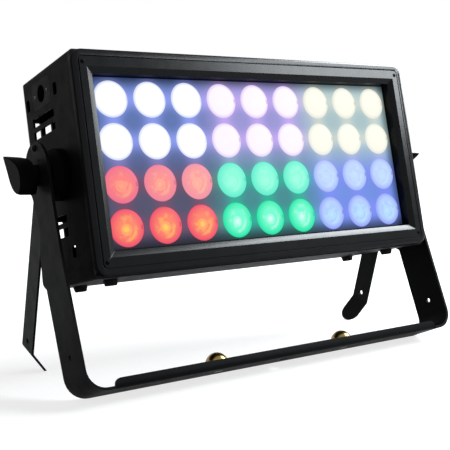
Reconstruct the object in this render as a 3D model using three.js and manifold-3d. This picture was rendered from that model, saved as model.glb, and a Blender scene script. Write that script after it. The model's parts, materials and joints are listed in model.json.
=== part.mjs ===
// A floor-standing LED wash light: a rectangular lamp head with four rows of nine lenses hangs
// between the arms of a folded yoke, and two flat rear legs on the same axis prop the yoke up.
// Millimetres, +Z up. +X is the viewer's right, the lit face looks along -Y, the floor is Z = 0.
import * as THREE from 'three';
import { mergeVertices } from 'three/addons/utils/BufferGeometryUtils.js';
import Module from 'manifold-3d';

const wasm = await Module();
wasm.setup();

// Fits shared by every piece.
const FIT_GAP = 0.3;
const OVERRUN = 4;
const ROUND_STEPS = 24;
const LENS_STEPS = 16;
const SMALL_ROUND_STEPS = 10;
const PROFILE_STEPS = 8;
const PIN_STEPS = 6;
const CORNER_STEPS = 4;
const SLOT_STEPS = 2;

// Pose in degrees: how far the lit face looks up, the yoke leans back and the legs run back.
const HEAD_TILT = 13.84;
const YOKE_LEAN = 23.7;
const LEG_SPREAD = 14.8;
const LEFT_KNOB_ANGLE = -32;
const RIGHT_KNOB_ANGLE = 48;

// Housing, measured from the lens plane backwards.
const HOUSING_HALF_WIDTH = 222.75;
const HOUSING_HALF_HEIGHT = 114;
const HOUSING_DEPTH = 120;
const HOUSING_CORNER = 3;
const WALL = 2.5;
const COVER_THICKNESS = 3;
const COVER_EDGE = 1.6;
const MASK_THICKNESS = 2.5;

// Front bezel: a square-cornered base flush with the housing, and on it a raised frame with
// round corners, whose face steps inwards from the rim.
const BEZEL_SIDE_LAP = 2.25;
const BEZEL_TOP_INSET = 1;
const BEZEL_HALF_WIDTH = HOUSING_HALF_WIDTH + BEZEL_SIDE_LAP;
const BEZEL_HALF_HEIGHT = HOUSING_HALF_HEIGHT - BEZEL_TOP_INSET;
const BEZEL_DEPTH = 14;
const BEZEL_BASE_DEPTH = 7;
const BEZEL_BASE_OVERLAP = 1;
const BEZEL_CORNER = 12;
const BEZEL_ROUND = 2.5;
const RIM_WIDTH = 7;
const GROOVE_WIDTH = 1.2;
const GROOVE_DEPTH = 1.2;
const SIDE_BAND = 15.7;
const TOP_BAND = 18;
const SIDE_CHAMFER = 6.8;
const TOP_CHAMFER = 6;
const CHAMFER_DEPTH = 4;
const INNER_CORNER = 1;
const BEZEL_SCREW_SIDE_INSET = 11.85;
const BEZEL_SCREW_TOP_INSET = 13.6;
const BEZEL_SCREW_X = BEZEL_HALF_WIDTH - BEZEL_SCREW_SIDE_INSET;
const BEZEL_SCREW_Z = BEZEL_HALF_HEIGHT - BEZEL_SCREW_TOP_INSET;
const BEZEL_SCREW_HEAD = 2.2;
const BEZEL_SCREW_RISE = 0.9;
const BEZEL_SCREW_SHANK = 1.4;
const BEZEL_SCREW_SOCKET = 0.9;

// Lens field: the columns fill the bezel's opening, and the rows keep a margin in it.
const COLUMNS = 9;
const ROWS = 4;
const ZONE_COLUMNS = 3;
const ZONE_ROWS = 2;
const ROW_MARGIN = 1;
const LENS_SPACING = 5.6;
const COLUMN_PITCH = ((BEZEL_HALF_WIDTH - SIDE_BAND - SIDE_CHAMFER) * 2) / COLUMNS;
const ROW_PITCH = ((BEZEL_HALF_HEIGHT - TOP_BAND - TOP_CHAMFER - ROW_MARGIN) * 2) / ROWS;
const LENS_RADIUS = (Math.min(COLUMN_PITCH, ROW_PITCH) - LENS_SPACING) / 2;
const LENS_SHOULDER = 0.8;
const LENS_CROWN = 1.8;
const CROWN_SHARE = 0.65;
const CARRIER_THICKNESS = 2.5;
const LED_GAP = 5;
const LED_HALF = 4;
const LED_HEIGHT = 1.6;
const BOARD_THICKNESS = 1.6;
const BOARD_MARGIN = 3;

// Openings of the housing's side walls, placed from a centre line just above the lens centre.
const SIDE_CENTRE_Z = 2.5;
const SIDE_VENT_LENGTH = 56.5;
const SIDE_VENT_REAR_INSET = 17.5;
const SIDE_VENT_REAR = HOUSING_DEPTH - SIDE_VENT_REAR_INSET;
const SIDE_VENT_FRONT = SIDE_VENT_REAR - SIDE_VENT_LENGTH;
const OUTER_VENT_INSET = 51.75;
const OUTER_VENT_HEIGHT = 9.5;
const VENT_PITCH = 13.85;
const INNER_VENT_HEIGHT = 8.5;
const OUTER_VENT_RISE = HOUSING_HALF_HEIGHT - OUTER_VENT_INSET;
const INNER_VENT_RISE = OUTER_VENT_RISE - VENT_PITCH;
const SIDE_WINDOW_INSET = 30.1;
const SIDE_WINDOW_RISE = HOUSING_HALF_HEIGHT - SIDE_WINDOW_INSET;
const SIDE_WINDOW_WIDTH = 8.5;
const SIDE_WINDOW_HEIGHT = 12.6;
const REAR_WINDOW_INSET = 10;
const REAR_WINDOW_Y = HOUSING_DEPTH - REAR_WINDOW_INSET;
const SMALL_CORNER = 1.5;

// Sockets: the flush side sockets and the pair on the rear cover.
const SIDE_SOCKET_REAR_INSET = 47;
const SIDE_SOCKET_TOP_INSET = 23.2;
const SIDE_SOCKET_Y = HOUSING_DEPTH - SIDE_SOCKET_REAR_INSET;
const SIDE_SOCKET_Z = HOUSING_HALF_HEIGHT - SIDE_SOCKET_TOP_INSET;
const FRONT_WINDOW_LEAD = 36;
const FRONT_WINDOW_Y = SIDE_SOCKET_Y - FRONT_WINDOW_LEAD;
const SIDE_SOCKET_LENGTH = 48;
const SIDE_SOCKET_HEIGHT = 30;
const SIDE_SOCKET_BORE = 9.3;
const REAR_SOCKET_X = 78;
const REAR_SOCKET_Z = -32;
const REAR_SOCKET_LENGTH = 31;
const REAR_SOCKET_HEIGHT = 31;
const REAR_SOCKET_BORE = 11;
const SOCKET_DEPTH = 20;
const SOCKET_WALL = 2;
const SOCKET_CORNER = 4;
const SOCKET_PIN_RADIUS = 1.2;
const SOCKET_PIN_LENGTH = 12;
const SOCKET_PIN_CIRCLE_SHARE = 0.5;
const SOCKET_PINS = 3;
const SOCKET_FIRST_PIN_ANGLE = 90;

// Rear cover: outlet grilles at both sides, then the menu in the middle.
const GRILLE_SLOTS = 3;
const GRILLE_SIDE_INSET = 36.75;
const GRILLE_FIRST_X = HOUSING_HALF_WIDTH - GRILLE_SIDE_INSET;
const GRILLE_PITCH = 13;
const GRILLE_SLOT_WIDTH = 8;
const GRILLE_SLOT_LENGTH = 29;
const GRILLE_END_INSET = 44;
const GRILLE_HIGH = HOUSING_HALF_HEIGHT - GRILLE_END_INSET;
const GRILLE_LOW = GRILLE_HIGH - GRILLE_SLOT_LENGTH;
const WINDOW_HALF_WIDTH = 27;
const WINDOW_HALF_HEIGHT = 12;
const WINDOW_Z = 24;
const WINDOW_THICKNESS = 4;
const BUTTON_COUNT = 4;
const BUTTON_PITCH = 17;
const BUTTON_Z = -4;
const BUTTON_RADIUS = 4.5;
const BUTTON_RISE = 2;
const BUTTON_FLANGE = 6.5;
const BUTTON_FLANGE_THICKNESS = 1.4;
const BUTTON_TRAVEL = 1;
const CONTROL_BOARD_HALF_WIDTH = 46;
const CONTROL_BOARD_LOW = -20;
const CONTROL_BOARD_HIGH = 46;
const CONTROL_BOARD_INSET = 8;
const POST_RADIUS = 3;
const POST_INSET = 5;
const COVER_SCREW_INSET = 9;
const COVER_SCREW_RADIUS = 3.2;
const COVER_SCREW_RISE = 1.6;
const COVER_SCREW_SHANK = 1.6;
const COVER_SCREW_LENGTH = 6;

// Heat sink and power supply inside the housing.
const SINK_BASE = 6;
const SINK_END_GAP = 13.5;
const FIN_COUNT = 15;
const FIN_PITCH = 22;
const FIN_THICKNESS = 2.5;
const FIN_DEPTH = 30;
const SUPPLY_HALF_WIDTH = 85;
const SUPPLY_FRONT_GAP = 12.2;
const SUPPLY_REAR_GAP = 10;
const SUPPLY_HEIGHT = 34;

// Rubber feet under the housing.
const FOOT_SIDE_INSET = 30.25;
const FOOT_REAR_INSET = 20.6;
const FOOT_X = HOUSING_HALF_WIDTH - FOOT_SIDE_INSET;
const FOOT_FRONT_Y = 26.2;
const FOOT_REAR_Y = HOUSING_DEPTH - FOOT_REAR_INSET;
const FOOT_TOP_RADIUS = 8;
const FOOT_BOTTOM_RADIUS = 6.2;
const FOOT_HEIGHT = 6;

// The tilt axis, in the lamp head's frame, and the pivot stack outwards along it.
const PIVOT_Y = 47.4;
const PIVOT_Z = -1.3;
const BOSS_RADIUS = 27;
const BOSS_NOSE_RADIUS = 23.5;
const BOSS_SHOULDER = 8;
const BOSS_FLOOR = 3;
const STUD_RADIUS = 6;
const BOSS_STANDOFF = 18.95;
const LEG_INNER = HOUSING_HALF_WIDTH + BOSS_STANDOFF;
const LEG_THICKNESS = 2.5;
const WASHER_RADIUS = 15;
const WASHER_ROOM = 1.8;
const SHEET = 3;
const ARM_OUTER = LEG_INNER + LEG_THICKNESS + WASHER_ROOM + SHEET;

// Yoke: a folded strip. Lengths along the arm run from the tilt axis.
const ARM_FRONT = 21.1;
const ARM_BACK = 28.3;
const ARM_LENGTH = 224.5;
const FOLD_RADIUS = 22;
const ARM_HEAD_RADIUS = 29.5;
const ARM_HEAD_FORWARD = 1.6;
const ARM_HEAD_RISE = 3.7;
const ARM_HEAD_END_ANGLE = 40;
const FLARE_DROP = 100;
const FLARE_MID_FORWARD = 22;
const FLARE_MID_DROP = 50;
const NECK_BACK = 17.2;
const NECK_DROP = 50;
const SHOULDER_BACK = 28;
const SHOULDER_DROP = 75;
const BUMP_BACK = 34.7;
const BUMP_DROP = 104;
const BUMP_END_DROP = 111.3;
const LIP_HEIGHT = 10;
const LIP_RADIUS = 4;
const LIP_SIDE_INSET = 30;
const LIP_HALF_LENGTH = ARM_OUTER - LIP_SIDE_INSET;
const LIP_CORNER = 6.5;
const ARM_HOLE_HEIGHT = 38.7;
const ARM_HOLE_DROP = ARM_LENGTH - ARM_HOLE_HEIGHT;
const ARM_HOLE_RADIUS = 3;
const CLAMP_HOLE_RADIUS = 6.5;
const ARM_SCREW_FORWARD = 7.1;
const ARM_SCREW_RISE = 26.7;
const ARM_SCREW_RADIUS = 3.75;
const ARM_SCREW_SHANK = 1.7;
const ARM_SCREW_RISE_SHARE = 0.7;
const ARM_SCREW_SHOULDER_SHARES = [0.85, 0.55];
const ARM_SCREW_CROWN_SHARES = [0.5, 0.9];
const INDEX_HOLE_FORWARD = 11.9;
const INDEX_HOLE_RISE = 11.3;
const INDEX_HOLE_RADIUS = 1.1;

// Dome bolts on the bar.
const BAR_BOLT_X = 87.5;
const BAR_BOLT_RADIUS = 12.6;
const BAR_BOLT_BASE = 4.5;
const BAR_BOLT_SHANK = 5;

// Rear legs: flat strips with an inward foot.
const LEG_WIDTH = 27.5;
const FOOT_RISE = 26.86;
const FOOT_BEND = 36.9;
const FOOT_BEND_RADIUS = 6;
const LEG_HOLE_HEIGHT = 10.6;
const LEG_HOLE_RADIUS = 3;

// Wing knobs.
const KNOB_NECK_RADIUS = 10.5;
const KNOB_NECK = 6.3;
const KNOB_LENGTH = 28;
const KNOB_END = ARM_OUTER + KNOB_LENGTH;
const KNOB_HALF_SPAN = 21.5;
const KNOB_INNER_CORNER = 5;
const KNOB_OUTER_CORNER = 3;
const KNOB_BLADE = 8;
const KNOB_HUB_INSET = 6;
const KNOB_HUB_END = KNOB_END - KNOB_HUB_INSET;
const STUD_IN_KNOB = 14;

const radians = THREE.MathUtils.degToRad;
const WELD_SHARE = 5e-7;

// Orientation of a flat outline: its two directions and the way it is thickened.
const FRONT_VIEW = new THREE.Matrix4().makeBasis(
  new THREE.Vector3(1, 0, 0), new THREE.Vector3(0, 0, 1), new THREE.Vector3(0, -1, 0));
const SIDE_VIEW = new THREE.Matrix4().makeBasis(
  new THREE.Vector3(0, 1, 0), new THREE.Vector3(0, 0, 1), new THREE.Vector3(1, 0, 0));
const PLAN_VIEW = new THREE.Matrix4();

// Merges shared corners and turns the faces outwards.
function welded(geometry) {
  const bare = geometry.index ? geometry.toNonIndexed() : geometry.clone();
  bare.deleteAttribute('normal');
  bare.deleteAttribute('uv');
  const merged = mergeVertices(bare, WELD_SHARE * HOUSING_HALF_WIDTH);
  const position = merged.attributes.position;
  const index = Array.from(merged.index.array);
  const corners = [new THREE.Vector3(), new THREE.Vector3(), new THREE.Vector3()];
  const kept = [];
  let volume = 0;
  for (let i = 0; i < index.length; i += 3) {
    const [a, b, c] = index.slice(i, i + 3);
    if (a === b || b === c || c === a) continue;
    kept.push(a, b, c);
    corners[0].fromBufferAttribute(position, a);
    corners[1].fromBufferAttribute(position, b);
    corners[2].fromBufferAttribute(position, c);
    volume += corners[0].dot(corners[1].cross(corners[2]));
  }
  merged.setIndex(volume < 0 ? kept.reverse() : kept);
  return merged;
}

function toSolid(geometry) {
  const mesh = welded(geometry);
  return new wasm.Manifold(new wasm.Mesh({
    numProp: 3,
    vertProperties: new Float32Array(mesh.attributes.position.array),
    triVerts: new Uint32Array(mesh.index.array),
  }));
}

function fromSolid(solid) {
  const mesh = solid.getMesh();
  const geometry = new THREE.BufferGeometry();
  geometry.setAttribute('position', new THREE.BufferAttribute(new Float32Array(mesh.vertProperties), 3));
  geometry.setIndex(new THREE.BufferAttribute(new Uint32Array(mesh.triVerts), 1));
  return geometry;
}

// Joins some geometries and cuts others away.
function combine(joined, cuts = []) {
  const first = joined.slice(1).reduce((sum, piece) => sum.add(toSolid(piece)), toSolid(joined[0]));
  return fromSolid(cuts.reduce((sum, piece) => sum.subtract(toSolid(piece)), first));
}

function intersect(first, second) {
  return fromSolid(toSolid(first).intersect(toSolid(second)));
}

// Thickens an outline from one depth to another, seen from the front, the side or above.
function prism(outline, view, from, to, steps = SLOT_STEPS) {
  const low = Math.min(from, to);
  const high = Math.max(from, to);
  const geometry = new THREE.ExtrudeGeometry(outline, {
    depth: high - low, bevelEnabled: false, curveSegments: steps,
  });
  geometry.translate(0, 0, view === FRONT_VIEW ? -high : low);
  return geometry.applyMatrix4(view);
}

// A turned form: profile points are [radius, place along the axis].
function turned(profile, axis, steps = ROUND_STEPS) {
  const points = profile.map(([radius, along]) => new THREE.Vector2(radius, along));
  const geometry = new THREE.LatheGeometry(points, steps);
  if (axis === 'x') geometry.rotateZ(-Math.PI / 2);
  if (axis === 'z') geometry.rotateX(Math.PI / 2);
  return geometry;
}

function rod(radius, from, to, axis, steps = SMALL_ROUND_STEPS) {
  return turned([[0, from], [radius, from], [radius, to], [0, to]], axis, steps);
}

function rectangle(left, right, low, high, corner = 0) {
  const shape = new THREE.Shape();
  if (corner === 0) {
    shape.moveTo(left, low).lineTo(right, low).lineTo(right, high).lineTo(left, high);
    return shape;
  }
  shape.moveTo(left + corner, low);
  shape.lineTo(right - corner, low);
  shape.absarc(right - corner, low + corner, corner, -Math.PI / 2, 0);
  shape.lineTo(right, high - corner);
  shape.absarc(right - corner, high - corner, corner, 0, Math.PI / 2);
  shape.lineTo(left + corner, high);
  shape.absarc(left + corner, high - corner, corner, Math.PI / 2, Math.PI);
  shape.lineTo(left, low + corner);
  shape.absarc(left + corner, low + corner, corner, Math.PI, Math.PI * 1.5);
  return shape;
}

function polygon(points) {
  return new THREE.Shape(points.map(([across, up]) => new THREE.Vector2(across, up)));
}

function circle(across, up, radius, steps = SMALL_ROUND_STEPS) {
  return polygon(Array.from({ length: steps }, (_, step) => {
    const angle = (step / steps) * Math.PI * 2;
    return [across + radius * Math.cos(angle), up + radius * Math.sin(angle)];
  }));
}

// A picture-frame solid: each loop is a rounded rectangle { halfX, halfZ, corner, y }, and the
// loops close on themselves around the frame's section.
function frameSolid(loops) {
  const rings = loops.map(({ halfX, halfZ, corner, y }) => {
    const points = [];
    [[1, 1], [-1, 1], [-1, -1], [1, -1]].forEach(([sideX, sideZ], quarter) => {
      for (let step = 0; step <= CORNER_STEPS; step += 1) {
        const angle = (quarter + step / CORNER_STEPS) * Math.PI / 2;
        points.push([sideX * (halfX - corner) + corner * Math.cos(angle), y,
          sideZ * (halfZ - corner) + corner * Math.sin(angle)]);
      }
    });
    return points;
  });
  const count = rings[0].length;
  const vertices = rings.flat(2);
  const index = [];
  rings.forEach((ring, i) => {
    const next = (i + 1) % rings.length;
    for (let k = 0; k < count; k += 1) {
      const after = (k + 1) % count;
      const [a, b, c, d] = [i * count + k, i * count + after, next * count + after, next * count + k];
      index.push(a, b, c, a, c, d);
    }
  });
  const geometry = new THREE.BufferGeometry();
  geometry.setAttribute('position', new THREE.Float32BufferAttribute(vertices, 3));
  geometry.setIndex(index);
  return welded(geometry);
}

function finish(color, roughness, metalness, extra = {}) {
  return new THREE.MeshStandardMaterial({ color, roughness, metalness, ...extra });
}

const FINISHES = {
  housing: () => finish(0x26282a, 0.6, 0.3),
  bezel: () => finish(0x3a3c3e, 0.5, 0.4),
  yoke: () => finish(0x202224, 0.6, 0.35),
  leg: () => finish(0x1c1e20, 0.6, 0.35),
  zinc: () => finish(0xc49a4a, 0.35, 0.9),
  steel: () => finish(0x8b8d8f, 0.35, 0.9),
  blackSteel: () => finish(0x1a1b1c, 0.35, 0.6),
  knob: () => finish(0x151617, 0.45, 0),
  rubber: () => finish(0x101010, 0.85, 0),
  mask: () => finish(0x1c2028, 0.5, 0),
  board: () => finish(0xe8e8e0, 0.6, 0),
  circuit: () => finish(0x1d5b3a, 0.6, 0),
  sink: () => finish(0x9ea1a4, 0.45, 0.9),
  socket: () => finish(0x141618, 0.5, 0),
  display: () => finish(0x0a0e14, 0.15, 0),
  supply: () => finish(0xa8abae, 0.45, 0.8),
};

const ZONE_COLOURS = {
  top_left: 0xeaf4ff, top_middle: 0xffe2ee, top_right: 0xfff0d8,
  bottom_left: 0xff5a48, bottom_middle: 0x6ff0a0, bottom_right: 0x9a90ff,
};

function part(name, geometry, material) {
  const flat = welded(geometry).toNonIndexed();
  flat.computeVertexNormals();
  const mesh = new THREE.Mesh(flat, material);
  mesh.name = name;
  return mesh;
}

const SIDES = [['left', -1], ['right', 1]];

// Copies a geometry made for the right side to the left by mirroring x.
function onSide(geometry, side) {
  if (side > 0) return geometry;
  return welded(geometry.clone().applyMatrix4(new THREE.Matrix4().makeScale(-1, 1, 1)));
}

function moved(geometry, x, y, z) {
  return geometry.translate(x, y, z);
}

const INNER_HALF_WIDTH = HOUSING_HALF_WIDTH - WALL;
const INNER_HALF_HEIGHT = HOUSING_HALF_HEIGHT - WALL;
const COVER_INNER = HOUSING_DEPTH - COVER_THICKNESS;

// Bezel.
function makeBezel() {
  const loop = (insetX, insetZ, y, cornerInset = Math.min(insetX, insetZ)) => ({
    halfX: BEZEL_HALF_WIDTH - insetX,
    halfZ: BEZEL_HALF_HEIGHT - insetZ,
    corner: Math.max(BEZEL_CORNER - cornerInset, INNER_CORNER),
    y,
  });
  const face = -BEZEL_DEPTH;
  const turn = BEZEL_ROUND * (1 - Math.SQRT1_2);
  const groove = RIM_WIDTH + GROOVE_WIDTH;
  const opening = (y) => loop(SIDE_BAND + SIDE_CHAMFER, TOP_BAND + TOP_CHAMFER, y, BEZEL_CORNER);
  const base = (y) => ({
    halfX: HOUSING_HALF_WIDTH, halfZ: HOUSING_HALF_HEIGHT, corner: HOUSING_CORNER, y,
  });
  const back = frameSolid([base(-FIT_GAP), base(-BEZEL_BASE_DEPTH), opening(-BEZEL_BASE_DEPTH),
    opening(-FIT_GAP)]);
  const raisedBack = BEZEL_BASE_OVERLAP - BEZEL_BASE_DEPTH;
  const frame = frameSolid([
    loop(0, 0, raisedBack),
    loop(0, 0, face + BEZEL_ROUND),
    loop(turn, turn, face + turn),
    loop(BEZEL_ROUND, BEZEL_ROUND, face),
    loop(RIM_WIDTH, RIM_WIDTH, face),
    loop(RIM_WIDTH, RIM_WIDTH, face + GROOVE_DEPTH),
    loop(groove, groove, face + GROOVE_DEPTH),
    loop(groove, groove, face),
    loop(SIDE_BAND, TOP_BAND, face, BEZEL_CORNER),
    opening(face + CHAMFER_DEPTH),
    opening(raisedBack),
  ]);
  const holes = cornerPlaces(BEZEL_SCREW_X, BEZEL_SCREW_Z).map(([, x, z]) =>
    moved(rod(BEZEL_SCREW_SHANK + FIT_GAP, face - OVERRUN, OVERRUN, 'y'), x, 0, z));
  return combine([frame, back], holes);
}

function cornerPlaces(x, z) {
  return [['top_left', -x, z], ['top_right', x, z], ['bottom_left', -x, -z], ['bottom_right', x, -z]];
}

// A button-head screw along y with its head towards -y and a socket in the head.
function frontScrew(head, rise, shank, socket, seat, end) {
  const top = seat - rise;
  return turned([
    [0, top + rise / 2], [socket, top + rise / 2], [socket, top], [head, seat - rise / 2], [head, seat - FIT_GAP / 2], [shank, seat - FIT_GAP / 2], [shank, end], [0, end],
  ], 'y', SMALL_ROUND_STEPS);
}

// Mask behind the bezel, with one round hole for each lens.
function lensPlaces(firstColumn, columns, firstRow, rows) {
  const places = [];
  for (let row = firstRow; row < firstRow + rows; row += 1) {
    for (let column = firstColumn; column < firstColumn + columns; column += 1) {
      places.push([(column - (COLUMNS - 1) / 2) * COLUMN_PITCH, ((ROWS - 1) / 2 - row) * ROW_PITCH]);
    }
  }
  return places;
}

function makeMask() {
  const halfX = INNER_HALF_WIDTH - FIT_GAP;
  const halfZ = INNER_HALF_HEIGHT - FIT_GAP;
  const outline = rectangle(-halfX, halfX, -halfZ, halfZ, WALL);
  lensPlaces(0, COLUMNS, 0, ROWS).forEach(([x, z]) => {
    outline.holes.push(circle(x, z, LENS_RADIUS + FIT_GAP, LENS_STEPS));
  });
  return prism(outline, FRONT_VIEW, 0, MASK_THICKNESS);
}

// One zone of lenses on its carrier plate, just behind the mask.
function makeLensZone(zoneColumn, zoneRow) {
  const places = lensPlaces(zoneColumn * ZONE_COLUMNS, ZONE_COLUMNS, zoneRow * ZONE_ROWS, ZONE_ROWS);
  const across = places.map(([x]) => x);
  const up = places.map(([, z]) => z);
  const halfX = COLUMN_PITCH / 2 - FIT_GAP / 2;
  const halfZ = ROW_PITCH / 2 - FIT_GAP / 2;
  const front = MASK_THICKNESS + FIT_GAP;
  const back = front + CARRIER_THICKNESS;
  const plate = prism(rectangle(Math.min(...across) - halfX, Math.max(...across) + halfX,
    Math.min(...up) - halfZ, Math.max(...up) + halfZ), FRONT_VIEW, front, back);
  const middle = front + CARRIER_THICKNESS / 2;
  const lens = [
    [0, middle], [LENS_RADIUS, middle], [LENS_RADIUS, LENS_SHOULDER],
    [LENS_RADIUS * CROWN_SHARE, LENS_SHOULDER - LENS_CROWN * CROWN_SHARE], [0, LENS_SHOULDER - LENS_CROWN],
  ];
  return combine([plate, ...places.map(([x, z]) => moved(turned(lens, 'y', LENS_STEPS), x, 0, z))]);
}

const BOARD_FRONT = MASK_THICKNESS + FIT_GAP + CARRIER_THICKNESS + LED_GAP + LED_HEIGHT;
const SINK_FRONT = BOARD_FRONT + BOARD_THICKNESS + FIT_GAP;
const FIN_END = SINK_FRONT + SINK_BASE + FIN_DEPTH;

function makeLedBoard() {
  const halfX = (COLUMNS * COLUMN_PITCH) / 2 - BOARD_MARGIN;
  const halfZ = (ROWS * ROW_PITCH) / 2 - BOARD_MARGIN;
  const plate = prism(rectangle(-halfX, halfX, -halfZ, halfZ), FRONT_VIEW, BOARD_FRONT,
    BOARD_FRONT + BOARD_THICKNESS);
  const leds = lensPlaces(0, COLUMNS, 0, ROWS).map(([x, z]) =>
    prism(rectangle(x - LED_HALF, x + LED_HALF, z - LED_HALF, z + LED_HALF), FRONT_VIEW,
      BOARD_FRONT - LED_HEIGHT, BOARD_FRONT + BOARD_THICKNESS / 2));
  return combine([plate, ...leds]);
}

// Finned heat sink: a comb seen from above, drawn out over its height.
function makeHeatSink() {
  const half = INNER_HALF_WIDTH - FIT_GAP;
  const root = SINK_FRONT + SINK_BASE;
  const points = [[-half, SINK_FRONT], [half, SINK_FRONT], [half, root]];
  for (let fin = FIN_COUNT - 1; fin >= 0; fin -= 1) {
    const x = (fin - (FIN_COUNT - 1) / 2) * FIN_PITCH;
    points.push([x + FIN_THICKNESS / 2, root], [x + FIN_THICKNESS / 2, FIN_END],
      [x - FIN_THICKNESS / 2, FIN_END], [x - FIN_THICKNESS / 2, root]);
  }
  points.push([-half, root]);
  const halfZ = INNER_HALF_HEIGHT - SINK_END_GAP;
  return prism(polygon(points), PLAN_VIEW, -halfZ, halfZ);
}

// Housing tube with vents, windows and socket openings in both side walls.
function sideCuts() {
  const cuts = [];
  const across = (outline) => prism(outline, SIDE_VIEW, -HOUSING_HALF_WIDTH - OVERRUN,
    HOUSING_HALF_WIDTH + OVERRUN);
  [1, -1].forEach((way) => {
    [[OUTER_VENT_RISE, OUTER_VENT_HEIGHT], [INNER_VENT_RISE, INNER_VENT_HEIGHT]].forEach(([rise, height]) => {
      const z = SIDE_CENTRE_Z + way * rise;
      cuts.push(across(rectangle(SIDE_VENT_FRONT, SIDE_VENT_REAR, z - height / 2, z + height / 2,
        SMALL_CORNER)));
    });
    [FRONT_WINDOW_Y, REAR_WINDOW_Y].forEach((y) => {
      const z = SIDE_CENTRE_Z + way * SIDE_WINDOW_RISE;
      cuts.push(across(rectangle(y - SIDE_WINDOW_WIDTH / 2, y + SIDE_WINDOW_WIDTH / 2,
        z - SIDE_WINDOW_HEIGHT / 2, z + SIDE_WINDOW_HEIGHT / 2, SMALL_CORNER)));
    });
  });
  const halfY = SIDE_SOCKET_LENGTH / 2 + FIT_GAP;
  const halfZ = SIDE_SOCKET_HEIGHT / 2 + FIT_GAP;
  cuts.push(across(rectangle(SIDE_SOCKET_Y - halfY, SIDE_SOCKET_Y + halfY,
    SIDE_SOCKET_Z - halfZ, SIDE_SOCKET_Z + halfZ, SOCKET_CORNER + FIT_GAP)));
  return cuts;
}

function makeHousing() {
  const outline = rectangle(-HOUSING_HALF_WIDTH, HOUSING_HALF_WIDTH, -HOUSING_HALF_HEIGHT,
    HOUSING_HALF_HEIGHT, HOUSING_CORNER);
  outline.holes.push(rectangle(-INNER_HALF_WIDTH, INNER_HALF_WIDTH, -INNER_HALF_HEIGHT,
    INNER_HALF_HEIGHT, HOUSING_CORNER - WALL));
  return combine([prism(outline, FRONT_VIEW, 0, COVER_INNER - FIT_GAP, CORNER_STEPS)], sideCuts());
}

// A flush socket: flange plate, blind cup behind it and contact pins in the cup. It is made
// around its own axis, looking along -x, with its face at x = 0.
function makeSocket(length, height, thickness, bore) {
  const plate = prism(rectangle(-length / 2, length / 2, -height / 2, height / 2, SOCKET_CORNER),
    SIDE_VIEW, 0, thickness, CORNER_STEPS);
  const cup = rod(bore + SOCKET_WALL, thickness / 2, SOCKET_DEPTH + SOCKET_WALL, 'x', LENS_STEPS);
  const hollow = rod(bore, -OVERRUN, SOCKET_DEPTH, 'x', LENS_STEPS);
  const shell = combine([plate, cup], [hollow]);
  const pins = [];
  for (let pin = 0; pin < SOCKET_PINS; pin += 1) {
    const angle = radians(SOCKET_FIRST_PIN_ANGLE) + (pin / SOCKET_PINS) * Math.PI * 2;
    pins.push(moved(rod(SOCKET_PIN_RADIUS, SOCKET_DEPTH - SOCKET_PIN_LENGTH,
      SOCKET_DEPTH + SOCKET_WALL / 2, 'x', PIN_STEPS), 0,
    bore * SOCKET_PIN_CIRCLE_SHARE * Math.cos(angle), bore * SOCKET_PIN_CIRCLE_SHARE * Math.sin(angle)));
  }
  return combine([shell, ...pins]);
}

function buttonPlaces() {
  return Array.from({ length: BUTTON_COUNT }, (_, i) => (i - (BUTTON_COUNT - 1) / 2) * BUTTON_PITCH);
}

const COVER_SCREW_X = HOUSING_HALF_WIDTH - COVER_SCREW_INSET;
const COVER_SCREW_Z = HOUSING_HALF_HEIGHT - COVER_SCREW_INSET;

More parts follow.
